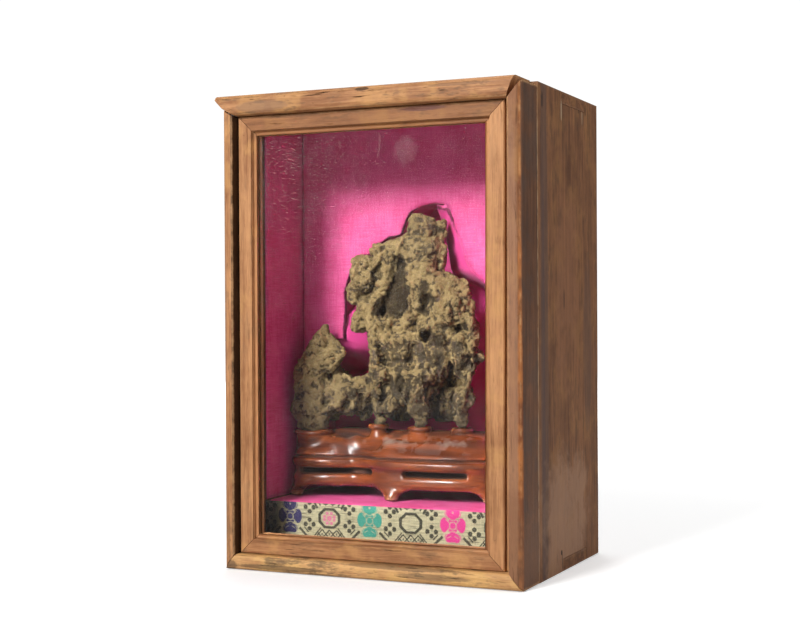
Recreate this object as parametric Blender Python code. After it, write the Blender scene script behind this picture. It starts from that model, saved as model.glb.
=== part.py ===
"""A scholar's rock on its carved stand, kept in a small fitted case whose glazed front slides up.

The frame: metres, +Z up, the glazed front faces -Y, +X is the viewer's right, and the origin is at
the bottom centre of the case.
"""
import math

import bmesh
import bpy
import numpy as np
from mathutils import Vector

MM = 0.001
GAP = 0.0003               # kept between pieces that touch

# The case: boards 7.5 mm thick behind a front frame of thicker strips.
CASE_HALF_W = 0.10035
CASE_FRONT = -0.0760
CASE_BACK = 0.0760
CASE_H = 0.3000
BOARD_T = 0.0075
BACK_T = 0.0057
BOARD_IN = CASE_HALF_W - BOARD_T
STRIP_BACK = -0.0460       # where the front strips meet the boards
BOARD_FRONT = STRIP_BACK + GAP
FINGER_Y0 = 0.0000         # the finger joint of top and bottom board through the sides
FINGER_Y1 = 0.0470

# The front strips, and the groove that the glazed panel slides in.
POST_R_IN = 0.0914
POST_L_IN = 0.0930
GROOVE_BOTTOM = 0.0969
GROOVE_Y0 = -0.0674
GROOVE_Y1 = -0.0608
RAIL_TOP = 0.0096          # top face of the bottom rail
RAIL_GROOVE_Z = 0.0064

# The sliding panel, which sits against the left post.
PANEL_Y = -0.0700
PANEL_BACK = -0.0612
TONGUE_Y0 = -0.0670
PANEL_L = -0.0919
PANEL_R_TOP = 0.0882
PANEL_R_BOT = 0.0869
TONGUE_L = -0.0964
TONGUE_R = 0.0939
PANEL_BOTTOM = 0.0099
PANEL_TOP = 0.2871
MEMBER_W = 0.0125          # face width of stile, head and foot
GLASS_Y0 = -0.0660
GLASS_Y1 = -0.0642
GLASS_BITE = 0.0029        # how far the pane goes into its groove
TOP_RAIL_Z0 = 0.2874
TOP_RAIL_Z1 = 0.3004
TOP_RAIL_BACK = -0.0465

# Inside: silk-covered linings, the padded back with its cut-out, the plinth.
LINING_T = 0.0008
LINING_FRONT = -0.0360
PLINTH_TOP = 0.0396
PLINTH_FRONT = -0.0358
BROCADE_T = 0.0006
BROCADE_TOP = 0.0384
PAD_FRONT = 0.0140
PAD_BACK = 0.0695
RECESS_BACK = 0.0600


def clear():
    for item in list(bpy.data.objects):
        bpy.data.objects.remove(item, do_unlink=True)


def piece(name, verts, faces, colour, rough=0.6, smooth=False):
    """One named solid with its own material, its faces turned outward."""
    mesh = bpy.data.meshes.new(name)
    bm = bmesh.new()
    made = [bm.verts.new(v) for v in verts]
    for face in faces:
        bm.faces.new([made[i] for i in face])
    bmesh.ops.remove_doubles(bm, verts=bm.verts, dist=0.00002)
    bmesh.ops.recalc_face_normals(bm, faces=bm.faces)
    bm.to_mesh(mesh)
    bm.free()
    obj = bpy.data.objects.new(name, mesh)
    bpy.context.scene.collection.objects.link(obj)
    paint(obj, colour, rough)
    for poly in mesh.polygons:
        poly.use_smooth = smooth
    return obj


def paint(obj, colour, rough):
    mat = bpy.data.materials.new(obj.name)
    mat.use_nodes = True
    shader = mat.node_tree.nodes["Principled BSDF"]
    shader.inputs["Base Color"].default_value = (*colour, 1.0)
    shader.inputs["Roughness"].default_value = rough
    obj.data.materials.clear()
    obj.data.materials.append(mat)


def loft(name, rings, colour, rough=0.6, smooth=False):
    """A closed solid through rings of the same number of points."""
    count = len(rings[0])
    verts = [point for ring in rings for point in ring]
    faces = [list(range(count))]
    for level in range(len(rings) - 1):
        low = level * count
        high = low + count
        for i in range(count):
            j = (i + 1) % count
            faces.append([low + i, low + j, high + j, high + i])
    faces.append([(len(rings) - 1) * count + i for i in range(count)])
    return piece(name, verts, faces, colour, rough, smooth)


def slab(name, outline, axis, low, high, colour, rough=0.6):
    """An outline extruded along one axis; its points are the other two coordinates in order."""
    rings = []
    for level in (low, high):
        ring = []
        for a, b in outline:
            point = [a, b]
            point.insert(axis, level)
            ring.append(point)
        rings.append(ring)
    return loft(name, rings, colour, rough)


def box(name, x0, x1, y0, y1, z0, z1, colour, rough=0.6):
    outline = [(x0, y0), (x1, y0), (x1, y1), (x0, y1)]
    return slab(name, outline, 2, z0, z1, colour, rough)


def arc(cx, cy, radius, start, end, steps):
    """Points of an arc in degrees, both ends included."""
    points = []
    for i in range(steps + 1):
        a = math.radians(start + (end - start) * i / steps)
        points.append((cx + radius * math.cos(a), cy + radius * math.sin(a)))
    return points


def round_edges(obj, radius, steps, test):
    """Rounds the straight edges whose two ends both pass the test."""
    bm = bmesh.new()
    bm.from_mesh(obj.data)
    picked = [e for e in bm.edges if test(e.verts[0].co) and test(e.verts[1].co)]
    bmesh.ops.bevel(bm, geom=picked, offset=radius, segments=steps, affect="EDGES", profile=0.5)
    bm.to_mesh(obj.data)
    bm.free()


def combine(obj, others, operation):
    """Joins or cuts with other solids, which are used up."""
    for other in others:
        other.hide_render = True
        other.display_type = "WIRE"
        step = obj.modifiers.new("step", "BOOLEAN")
        step.operation = operation
        step.solver = "EXACT"
        step.object = other
        bpy.context.view_layer.update()
        graph = bpy.context.evaluated_depsgraph_get()
        mesh = bpy.data.meshes.new_from_object(obj.evaluated_get(graph))
        obj.modifiers.remove(step)
        obj.data = mesh
        bpy.data.objects.remove(other, do_unlink=True)
    material = obj.data.materials[0]
    obj.data.materials.clear()
    obj.data.materials.append(material)
    for poly in obj.data.polygons:
        poly.material_index = 0
    return obj


# ---------------------------------------------------------------- boards of the case

SIDE_COLOUR = (0.16, 0.095, 0.062)
FRONT_COLOUR = (0.52, 0.33, 0.19)


def side_board(name, sign):
    """Stands full height; a notch at each end takes the finger of the top and bottom board."""
    low = BOARD_T + GAP
    high = CASE_H - BOARD_T - GAP
    y0 = FINGER_Y0 - GAP
    y1 = FINGER_Y1 + GAP
    outline = [
        (BOARD_FRONT, 0.0),
        (y0, 0.0),
        (y0, low),
        (y1, low),
        (y1, 0.0),
        (CASE_BACK, 0.0),
        (CASE_BACK, CASE_H),
        (y1, CASE_H),
        (y1, high),
        (y0, high),
        (y0, CASE_H),
        (BOARD_FRONT, CASE_H),
    ]
    x0, x1 = sorted((sign * BOARD_IN, sign * CASE_HALF_W))
    board = slab(name, outline, 0, x0, x1, SIDE_COLOUR)
    round_edges(
        board,
        0.0015,
        2,
        lambda co: abs(co.y - CASE_BACK) < 1e-5 and abs(co.x - sign * CASE_HALF_W) < 1e-5,
    )
    return board


def level_board(name, z0, z1):
    """Top or bottom board, its finger through each side."""
    inner = BOARD_IN - GAP
    outline = [
        (-inner, BOARD_FRONT),
        (inner, BOARD_FRONT),
        (inner, FINGER_Y0),
        (CASE_HALF_W, FINGER_Y0),
        (CASE_HALF_W, FINGER_Y1),
        (inner, FINGER_Y1),
        (inner, CASE_BACK),
        (-inner, CASE_BACK),
        (-inner, FINGER_Y1),
        (-CASE_HALF_W, FINGER_Y1),
        (-CASE_HALF_W, FINGER_Y0),
        (-inner, FINGER_Y0),
    ]
    return slab(name, outline, 2, z0, z1, SIDE_COLOUR)


def boards():
    side_board("side_left", -1)
    side_board("side_right", 1)
    level_board("top_board", CASE_H - BOARD_T, CASE_H)
    level_board("bottom_board", 0.0, BOARD_T)
    inner = BOARD_IN - GAP
    low = BOARD_T + GAP
    high = CASE_H - BOARD_T - GAP
    box("back_board", -inner, inner, CASE_BACK - BACK_T, CASE_BACK, low, high, SIDE_COLOUR)


# ---------------------------------------------------------------- front strips

def post(name, sign, inner, top_inner, top_outer):
    """A grooved strip with a worn outer arris, mitred to the rails at both ends."""
    outer = CASE_HALF_W
    profile = [(outer, STRIP_BACK)]
    profile += arc(outer - 0.0036, CASE_FRONT + 0.0036, 0.0036, 0, -90, 5)
    profile += arc(inner + 0.0011, CASE_FRONT + 0.0011, 0.0011, -90, -180, 2)
    profile += [
        (inner, GROOVE_Y0),
        (GROOVE_BOTTOM, GROOVE_Y0),
        (GROOVE_BOTTOM, GROOVE_Y1),
        (inner, GROOVE_Y1),
        (inner, STRIP_BACK),
    ]
    low = []
    high = []
    for x, y in profile:
        share = (x - inner) / (outer - inner)
        low.append((sign * x, y, 0.0100 - 0.0097 * share))
        high.append((sign * x, y, top_inner + (top_outer - top_inner) * share))
    return loft(name, [low, high], FRONT_COLOUR)


def bottom_rail():
    """Runs across the foot of the case between the mitres, grooved for the panel."""
    section = [(STRIP_BACK, 0.0)]
    section += arc(CASE_FRONT + 0.0026, 0.0026, 0.0026, -90, -180, 3)
    section += arc(CASE_FRONT + 0.0034, RAIL_TOP - 0.0034, 0.0034, 180, 90, 4)
    section += [
        (GROOVE_Y0, RAIL_TOP),
        (GROOVE_Y0, RAIL_GROOVE_Z),
        (GROOVE_Y1, RAIL_GROOVE_Z),
        (GROOVE_Y1, RAIL_TOP),
        (STRIP_BACK, RAIL_TOP),
    ]
    left = []
    right = []
    for y, z in section:
        share = z / RAIL_TOP
        left.append((-0.1000 + share * (0.1000 - POST_L_IN), y, z))
        right.append((0.1000 - share * (0.1000 - POST_R_IN), y, z))
    return loft("bottom_rail", [left, right], FRONT_COLOUR)


def front_strips():
    post("post_left", -1, POST_L_IN, 0.2868, 0.2914)
    post("post_right", 1, POST_R_IN, 0.2866, 0.2972)
    bottom_rail()


# ---------------------------------------------------------------- the sliding panel

def member_section(tongue):
    """Section of a panel member as (inward, depth): flat face, quirk, bead, glass groove."""
    inside = MEMBER_W
    bead = 0.0014
    if tongue > 0:
        points = [(-tongue, PANEL_BACK), (-tongue, TONGUE_Y0), (0.0, TONGUE_Y0)]
    else:
        points = [(0.0, PANEL_BACK)]
    points += [
        (0.0, PANEL_Y + 0.0006),
        (0.0006, PANEL_Y),
        (inside - 2 * bead - 0.0005, PANEL_Y),
        (inside - 2 * bead - 0.0002, PANEL_Y + 0.0010),
        (inside - 2 * bead, PANEL_Y + 0.0010),
    ]
    points += arc(inside - bead, PANEL_Y + bead, bead, 165, 0, 5)
    points += [
        (inside, GLASS_Y0 - GAP),
        (inside - 0.0033, GLASS_Y0 - GAP),
        (inside - 0.0033, GLASS_Y1 + GAP),
        (inside, GLASS_Y1 + GAP),
        (inside, PANEL_BACK),
    ]
    return points


def stile(name, sign):
    """An upright of the panel, its tongue in the post's groove, mitred to head and foot."""
    edge_top = PANEL_R_TOP if sign > 0 else -PANEL_L
    edge_bottom = PANEL_R_BOT if sign > 0 else -PANEL_L
    tongue = (TONGUE_R if sign > 0 else -TONGUE_L) - edge_top
    low = []
    high = []
    for inward, y in member_section(tongue):
        cut = max(inward, 0.0)
        low.append((sign * (edge_bottom - inward), y, PANEL_BOTTOM + cut))
        high.append((sign * (edge_top - inward), y, PANEL_TOP - cut))
    return loft(name, [low, high], FRONT_COLOUR)


def cross_member(name, z_edge, sign):
    """Head or foot of the panel between the mitres; sign is the way toward the glass."""
    left = []
    right = []
    right_edge = PANEL_R_BOT if sign > 0 else PANEL_R_TOP
    tongue = 0.0031 if sign > 0 else 0.0
    for inward, y in member_section(tongue):
        cut = max(inward, 0.0) + GAP
        z = z_edge + sign * inward
        left.append((PANEL_L + cut + 0.0001, y, z))
        right.append((right_edge - cut - 0.0001, y, z))
    return loft(name, [left, right], FRONT_COLOUR)


def glass_pane():
    left = PANEL_L + MEMBER_W - GLASS_BITE
    low = PANEL_BOTTOM + MEMBER_W - GLASS_BITE
    high = PANEL_TOP - MEMBER_W + GLASS_BITE
    outline = [
        (left, low),
        (PANEL_R_BOT - MEMBER_W + GLASS_BITE, low),
        (PANEL_R_TOP - MEMBER_W + GLASS_BITE, high),
        (left, high),
    ]
    return slab("glass_pane", outline, 1, GLASS_Y0, GLASS_Y1, (0.85, 0.9, 0.88), 0.05)


def top_rail():
    """Crowns the panel and closes on the mitred posts; it reaches past the left post."""
    section = [(TOP_RAIL_BACK, TOP_RAIL_Z0)]
    section += arc(CASE_FRONT + 0.0030, TOP_RAIL_Z0 + 0.0030, 0.0030, -90, -180, 4)
    section += arc(CASE_FRONT + 0.0042, TOP_RAIL_Z1 - 0.0042, 0.0042, 180, 90, 5)
    section += [(TOP_RAIL_BACK, TOP_RAIL_Z1)]
    left = [(-0.115, y, z) for y, z in section]
    right = [(0.105, y, z) for y, z in section]
    rail = loft("top_rail", [left, right], FRONT_COLOUR)
    ends = [
        (-0.0924, 0.2860),
        (-0.0924, 0.2876),
        (-0.1004, 0.2921),
        (-0.1058, 0.2976),
        (-0.1056, 0.3020),
        (0.0965, 0.3020),
        (0.0908, 0.2872),
        (0.0906, 0.2860),
    ]
    keep = slab("keep", ends, 1, CASE_FRONT - 0.01, STRIP_BACK + 0.01, FRONT_COLOUR)
    return combine(rail, [keep], "INTERSECT")


def panel():
    stile("panel_stile_left", -1)
    stile("panel_stile_right", 1)
    cross_member("panel_head", PANEL_TOP, -1)
    cross_member("panel_foot", PANEL_BOTTOM, 1)
    glass_pane()
    top_rail()


# ---------------------------------------------------------------- linings, plinth and padded back

SILK = (0.62, 0.05, 0.17)

# The cut-out of the padded back, seen from the front, millimetres (x, z), from the plinth up the
# right side, over the peak and down the left side to the small peak.
CUT_OUT = [
    (69.5, 30.0),
    (69.5, 92.0),
    (65.0, 98.0),
    (63.0, 112.0),
    (62.0, 132.0),
    (60.0, 150.0),
    (55.0, 166.0),
    (48.0, 177.0),
    (39.0, 184.5),
    (33.0, 190.0),
    (29.5, 197.0),
    (26.0, 208.0),
    (21.0, 219.0),
    (18.5, 228.0),
    (16.0, 233.0),
    (6.0, 234.5),
    (-4.0, 232.0),
    (-9.5, 229.0),
    (-13.5, 223.0),
    (-17.0, 213.5),
    (-26.0, 212.0),
    (-34.0, 207.0),
    (-38.5, 201.0),
    (-49.0, 199.0),
    (-55.5, 187.0),
    (-59.0, 176.0),
    (-58.5, 163.0),
    (-60.0, 150.0),
    (-60.0, 144.0),
    (-69.0, 143.0),
    (-77.0, 137.0),
    (-85.0, 127.0),
    (-95.0, 119.0),
    (-95.0, 30.0),
]


def linings():
    side = BOARD_IN - GAP
    inner = side - LINING_T
    top = CASE_H - BOARD_T - GAP
    low = PLINTH_TOP + GAP
    box("lining_left", -side, -inner, LINING_FRONT, PAD_BACK, low, top, SILK)
    box("lining_right", inner, side, LINING_FRONT, PAD_BACK, low, top, SILK)
    width = inner - GAP
    box("lining_top", -width, width, LINING_FRONT, PAD_FRONT - GAP, top - LINING_T, top, SILK)


def plinth():
    side = BOARD_IN - GAP
    block = box(
        "plinth", -side, side, PLINTH_FRONT, PAD_BACK, BOARD_T + GAP, PLINTH_TOP, SILK
    )
    round_edges(
        block,
        0.0016,
        3,
        lambda co: abs(co.y - PLINTH_FRONT) < 1e-5 and abs(co.z - PLINTH_TOP) < 1e-5,
    )
    front = PLINTH_FRONT - GAP
    back = front - BROCADE_T
    low = BOARD_T + GAP
    box("brocade_strip", -side, side, back, front, low, BROCADE_TOP - 0.001, (0.55, 0.5, 0.36))


def back_pad():
    """A thick padded block, hollowed to the outline of rock and stand from its front face."""
    half = BOARD_IN - GAP - LINING_T - GAP
    low = PLINTH_TOP + GAP
    high = CASE_H - BOARD_T - GAP - GAP
    pad = box("back_pad", -half, half, PAD_FRONT, PAD_BACK, low, high, SILK)
    outline = [(x * MM, z * MM) for x, z in CUT_OUT]
    cutter = slab("cut", outline, 1, PAD_FRONT - 0.01, RECESS_BACK, SILK)
    return combine(pad, [cutter], "DIFFERENCE")


# ---------------------------------------------------------------- the carved stand

WOOD = (0.15, 0.042, 0.02)

# The lobed outline of the stand in plan, millimetres, anticlockwise from the left end.
STAND_PLAN = [
    (-89.2, 14.0),
    (-88.8, 0.0),
    (-85.9, -9.5),
    (-77.0, -13.6),
    (-63.0, -13.6),
    (-51.0, -10.0),
    (-42.5, -6.8),
    (-33.0, -8.0),
    (-21.0, -12.6),
    (-5.0, -14.6),
    (14.0, -14.6),
    (31.0, -13.0),
    (43.0, -9.0),
    (54.0, -3.0),
    (63.0, 7.0),
    (67.0, 20.0),
    (65.0, 34.0),
    (56.0, 45.0),
    (40.0, 51.0),
    (20.0, 52.0),
    (2.0, 47.5),
    (-16.0, 45.0),
    (-36.0, 48.5),
    (-57.0, 51.5),
    (-76.0, 48.0),
    (-86.4, 38.0),
    (-89.4, 27.0),
]

# Moulding of the stand from the apron up to the middle of its top: height, inset, and the share
# of the way to the stand's long middle line.
STAND_STEPS = [
    (47.6, 1.9, 0.0),
    (48.0, 0.7, 0.0),
    (50.4, -0.4, 0.0),
    (53.4, -0.1, 0.0),
    (55.2, 1.5, 0.0),
    (59.4, 1.5, 0.0),
    (60.4, -0.4, 0.0),
    (62.8, -1.2, 0.0),
    (65.6, -0.3, 0.0),
    (66.5, 2.6, 0.0),
    (67.4, 2.6, 0.0),
    (67.8, 0.8, 0.0),
    (69.0, 1.2, 0.0),
    (72.6, 2.0, 0.10),
    (77.4, 2.0, 0.26),
    (81.6, 2.0, 0.48),
    (84.0, 2.0, 0.74),
]
STAND_MIDDLE = (-58.0, 38.0, 19.0)      # the middle line: x from, x to, y

# Feet of the stand: place on the outline (x, y) and the direction that they face, degrees.
STAND_FEET = [
    (-84.5, -8.0, 220),
    (-12.5, -12.6, 268),
    (52.5, -2.0, 305),
    (57.0, 42.0, 45),
    (-6.0, 43.5, 90),
    (-80.0, 44.0, 130),
]

# Sockets that grip the feet of the rock: x, y, radius across, radius deep, rim height, spread.
SOCKETS = [
    ("left", -76.0, 0.5, 11.6, 9.5, 84.0, 0.0),
    ("leg", -30.0, 6.0, 5.2, 5.2, 88.0, 1.0),
    ("middle", -1.5, 9.0, 6.2, 5.6, 87.0, 1.0),
    ("right", 27.5, 12.0, 5.2, 5.0, 86.5, 1.0),
]

# Carved swells on the top, cloud heads between the sockets: x, y, foot, across, deep, height.
SWELLS = [
    (-44.0, 1.0, 71.0, 8.5, 6.0, 9.5),
    (-15.0, -4.0, 69.5, 8.0, 6.0, 7.5),
    (12.0, 0.0, 71.0, 7.5, 6.0, 7.5),
    (41.0, 3.0, 70.0, 8.0, 6.5, 8.0),
    (-58.0, -2.0, 70.0, 9.0, 7.0, 9.0),
]

# Openwork slots under the upper moulding: the axis they run through, from, to along the moulding,
# and from, to along that axis.
STAND_SLOTS = [
    (1, -80.0, -28.5, -20.0, -2.0),
    (1, -4.0, 39.0, -20.0, -6.0),
    (0, 9.0, 33.0, 60.0, 74.0),
    (1, 6.0, 46.0, 42.0, 60.0),
    (1, -68.0, -18.0, 41.0, 60.0),
    (0, 8.0, 34.0, -98.0, -84.0),
]
SLOT_Z0 = 55.6
SLOT_Z1 = 59.3


def smooth_loop(points, count):
    """A closed Catmull-Rom curve through the points, sampled evenly in its parameter."""
    size = len(points)
    loop = []
    for i in range(count):
        t = i * size / count
        k = int(t)
        f = t - k
        p0, p1, p2, p3 = (Vector(points[(k + n) % size]) for n in (-1, 0, 1, 2))
        a = p1 * 2
        b = p2 - p0
        c = p0 * 2 - p1 * 5 + p2 * 4 - p3
        d = p1 * 3 - p0 - p2 * 3 + p3
        loop.append((a + b * f + c * f * f + d * f * f * f) / 2)
    return loop


def inset_loop(loop, inset, share):
    """The loop moved inward by the inset along its normals, then toward the middle line."""
    moved = []
    size = len(loop)
    x0, x1, y = STAND_MIDDLE
    for i in range(size):
        along = (loop[(i + 1) % size] - loop[i - 1]).normalized()
        point = loop[i] + Vector((-along.y, along.x)) * inset
        middle = Vector((min(max(point.x, x0), x1), y))
        moved.append(point.lerp(middle, share))
    return moved


def ellipse_ring(cx, cy, rx, ry, z, turn, count):
    ring = []
    for i in range(count):
        a = 2 * math.pi * i / count
        x = rx * math.cos(a)
        y = ry * math.sin(a)
        px = cx + x * math.cos(turn) - y * math.sin(turn)
        py = cy + x * math.sin(turn) + y * math.cos(turn)
        ring.append((px * MM, py * MM, z * MM))
    return ring


def stand_foot(index, x, y, facing):
    """A cloud-scroll foot, broad where it leaves the apron and narrow at its tip."""
    turn = math.radians(facing + 90)
    dx = math.cos(math.radians(facing))
    dy = math.sin(math.radians(facing))
    steps = [
        (39.9, 3.6, 3.6, -0.6),
        (41.0, 4.6, 4.4, -0.2),
        (43.2, 5.6, 4.8, -0.8),
        (45.2, 8.0, 5.2, -2.0),
        (47.0, 12.0, 5.6, -3.0),
        (50.5, 13.0, 5.6, -4.2),
    ]
    rings = []
    for z, wide, deep, out in steps:
        cx = x + dx * out
        cy = y + dy * out
        rings.append(ellipse_ring(cx, cy, wide, deep, z, turn, 10))
    return loft("foot_%d" % index, rings, WOOD)


def socket(name, x, y, rx, ry, rim, spread):
    """A low collar that flows out of the top, its rim rolled over, with a shallow cup."""
    wall = 1.9
    steps = [
        (70.0, 0.6 + 8.0 * spread),
        (76.0, 0.6 + 5.6 * spread),
        (80.0, 0.4 + 2.6 * spread),
        (rim - 3.4, 0.3 + 0.5 * spread),
        (rim - 1.8, 1.3),
        (rim - 0.7, 1.6),
        (rim, 0.7),
        (rim - 0.4, -0.7),
        (rim - 3.4, -wall),
    ]
    rings = [ellipse_ring(x, y, rx + out, ry + out, z, 0, 16) for z, out in steps]
    return loft("socket_" + name, rings, WOOD)


def swell(x, y, z, rx, ry, height):
    rings = []
    for rise, share in ((0.0, 1.0), (0.35, 0.93), (0.7, 0.72), (0.92, 0.42), (1.0, 0.14)):
        rings.append(ellipse_ring(x, y, rx * share, ry * share, z + height * rise, 0, 12))
    return loft("swell", rings, WOOD)


def slot_cutter(axis, along0, along1, through0, through1):
    middle = (SLOT_Z0 + SLOT_Z1) / 2
    radius = (SLOT_Z1 - SLOT_Z0) / 2
    outline = arc(along1 - radius, middle, radius, -90, 90, 4)
    outline += arc(along0 + radius, middle, radius, 90, 270, 4)
    outline = [(a * MM, z * MM) for a, z in outline]
    return slab("slot", outline, axis, through0 * MM, through1 * MM, WOOD)


def stand():
    loop = smooth_loop(STAND_PLAN, 44)
    rings = []
    for z, inset, share in STAND_STEPS:
        rings.append([(p.x * MM, p.y * MM, z * MM) for p in inset_loop(loop, inset, share)])
    body = loft("stand", rings, WOOD, 0.25)
    feet = [stand_foot(i, *foot) for i, foot in enumerate(STAND_FEET)]
    sockets = [socket(*spec) for spec in SOCKETS]
    swells = [swell(*spec) for spec in SWELLS]
    body = combine(body, feet + sockets + swells, "UNION")
    return combine(body, [slot_cutter(*spec) for spec in STAND_SLOTS], "DIFFERENCE")


# ---------------------------------------------------------------- the rock

ROCK = (0.33, 0.27, 0.18)
ROCK_TRIANGLES = 5000

# Limbs of the rock: name, one end (x, y, z) and its radius, other end and its radius, millimetres.
LIMBS = [
    ("peak", (-1, 11, 220), 9.0, (2, 12, 202), 12.0),
    ("peak, left top", (-5, 8, 223), 5.4, (-9, 8, 212), 6.6),
    ("peak, right top", (4, 11, 221), 5.5, (6, 13, 210), 7.0),
    ("spine, upper", (2, 12, 202), 12.0, (3, 13, 172), 14.0),
    ("knob on the peak", (13, 15, 216), 4.4, (10, 15, 211), 4.0),
    ("swelling right of the peak", (12, 14, 203), 5.5, (12, 15, 193), 5.0),
    ("shoulder under the peak", (-12, 8, 206), 7.5, (-20, 8, 205), 6.5),
    ("left crest", (-20, 8, 205), 6.5, (-26, 7, 200), 6.5),
    ("left lobe, top", (-38, 7, 194), 8.4, (-43, 7, 183), 9.2),
    ("left lobe, side", (-44, 7, 183), 8.8, (-48, 7, 173), 7.6),
    ("left lobe, foot", (-42, 8, 164), 9.0, (-43, 8, 154), 6.4),
    ("edge of the cleft, top", (-20, 5, 198), 4.8, (-24, 4, 179), 5.2),
    ("edge of the cleft, low", (-24, 4, 179), 5.2, (-34, 4, 163), 5.0),
    ("below the cleft, left", (-34, 5, 163), 5.5, (-33, 6, 147), 6.0),
    ("right lip of the cleft", (-8, 5, 198), 6.0, (-9, 5, 186), 5.5),
    ("grey boss", (-5, 3, 186), 6.0, (-7, 3, 182), 5.0),
    ("thin strip", (-2, 4, 177), 4.2, (-5, 4, 157), 4.6),
    ("sill of the cleft", (-27, 6, 153), 6.0, (-13, 6, 154), 6.0),
    ("right block, peak a", (13, 9, 185), 4.6, (14, 9, 177), 7.0),
    ("right block, peak b", (22, 11, 183), 4.6, (22, 10, 176), 7.0),
    ("right block, peak c", (30, 13, 177), 4.0, (29, 11, 169), 7.0),
    ("right block, edge", (31, 12, 167), 5.5, (32, 11, 156), 6.0),
    ("left leg, top", (-32, 5, 148), 5.0, (-32, 5, 121), 4.8),
    ("left leg, low", (-32, 5, 121), 4.8, (-30, 6, 86), 3.9),
    ("boss by the left leg", (-26, 3, 120), 6.4, (-24, 4, 125), 5.6),
    ("loop at the foot", (-30, 6, 101), 4.2, (-19, 4, 99), 5.0),
    ("web, upper", (3, 6, 123), 8.0, (-9, 5, 112), 8.4),
    ("web, lower", (-9, 5, 112), 8.4, (-20, 5, 101), 6.0),
    ("middle leg, top", (-2, 7, 119), 8.5, (-1, 8, 101), 6.4),
    ("middle leg, low", (-1, 8, 101), 6.4, (-1.5, 9, 85), 4.8),
    ("right column, head", (34, 9, 147), 6.6, (34, 9, 140), 6.2),
    ("right column, waist", (33, 10, 138), 5.2, (32, 11, 117), 5.0),
    ("spur", (36, 10, 133), 4.0, (40, 12, 133), 3.4),
    ("foot lump", (32, 10, 107), 7.8, (26, 9, 104), 8.4),
    ("foot lump, right", (36, 11, 104), 6.0, (33, 11, 99), 6.0),
    ("foot", (27, 11, 102), 7.0, (27.5, 12, 84), 4.0),
    ("fin in the hollow", (27, 8, 143), 6.0, (26, 8, 121), 3.4),
    ("white fin", (18, 5, 140), 3.8, (18, 6, 126), 2.8),
    ("bridge, left", (-68, 3, 109), 10.0, (-51, 6, 109), 9.0),
    ("bridge, right", (-51, 6, 109), 9.0, (-38, 7, 110), 7.5),
    ("bridge crest, left", (-60, 6, 121), 4.0, (-51, 7, 118), 4.4),
    ("bridge crest, right", (-51, 7, 116), 5.0, (-39, 7, 115), 4.6),
    ("boss under the bridge", (-52, -1, 113), 6.0, (-56, -2, 104), 6.0),
    ("drip under the bridge", (-57, -1, 102), 5.2, (-53, 0, 96), 4.4),
    ("curl", (-43, 0, 109), 4.2, (-47, 1, 100), 4.2),
    ("small peak, tip", (-68, 1, 152), 3.6, (-71, 1, 140), 7.4),
    ("small peak, middle", (-71, 1, 140), 7.4, (-75, 0, 122), 11.0),
    ("small peak, base", (-75, 0, 122), 11.0, (-77, -1, 101), 12.4),
    ("small peak, shoulder", (-60, 2, 136), 5.4, (-64, 2, 128), 6.5),
    ("small peak, left foot", (-81, -2, 96), 8.4, (-79, -1, 88), 8.4),
    ("small peak, right foot", (-69, 0, 97), 8.4, (-73, 0, 88), 8.0),
]

# Broad masses of the rock: name, middle (x, y, z), half sizes.
MASSES = [
    ("left slab", (-37, 14, 181), (14, 12, 22)),
    ("back of the cleft", (-24, 26, 174), (18, 12, 30)),
    ("right block", (19, 13, 168), (15, 14, 20)),
    ("middle, left", (-17, 14, 141), (21, 14, 17)),
    ("middle, right", (9, 14, 145), (19, 14, 17)),
    ("lower body", (-14, 13, 120), (20, 12, 18)),
    ("lower body, right", (2, 14, 124), (14, 12, 16)),
    ("bridge", (-52, 10, 106), (16, 11, 13)),
    ("wall under the bridge", (-46, 17, 105), (12, 9, 14)),
    ("back of the hollow", (9, 33, 113), (20, 10, 28)),
    ("back, middle", (-6, 34, 150), (28, 14, 34)),
    ("back, high", (3, 26, 192), (14, 12, 28)),
    ("back, right", (32, 28, 142), (13, 13, 30)),
    ("back, low", (-20, 30, 108), (34, 13, 20)),
    ("back, left", (-72, 20, 108), (15, 12, 20)),
]

# Holes and hollows: name, one end and its radius, other end and its radius.
HOLLOWS = [
    ("slot beside the block", (11, -12, 176), 3.0, (11, -12, 164), 4.2),
    ("slot, inner", (5, 2, 174), 2.4, (5, 4, 164), 3.2),
    ("round hole", (12, -12, 147), 3.8, (3, 12, 147), 3.6),
    ("cleft, head", (-13, -6, 196), 5.0, (-15, -5, 188), 6.6),
    ("cleft", (-15, -5, 188), 6.6, (-18, -5, 170), 8.4),
    ("cleft, low", (-18, -5, 170), 8.2, (-20, -5, 163), 8.0),
    ("groove over the hollow", (16, -3, 147), 3.4, (16, -1, 123), 4.4),
    ("window under the web", (-19, -6, 112), 4.6, (-14, -6, 116), 4.4),
    ("hollow, crown", (20, -6, 134), 3.4, (20, -3, 124), 5.6),
    ("hollow, top", (20, -3, 124), 7.0, (14, 0, 108), 9.2),
    ("hollow, foot", (14, 0, 108), 9.0, (14, 2, 88), 9.0),
    ("groove by the right column", (30, -6, 138), 2.6, (27, -4, 118), 3.2),
    ("under the web", (-17, 2, 91), 6.0, (-14, 10, 91), 6.0),
    ("furrow in the small peak", (-62, -14, 122), 2.6, (-64, -13, 104), 3.4),
]


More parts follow.
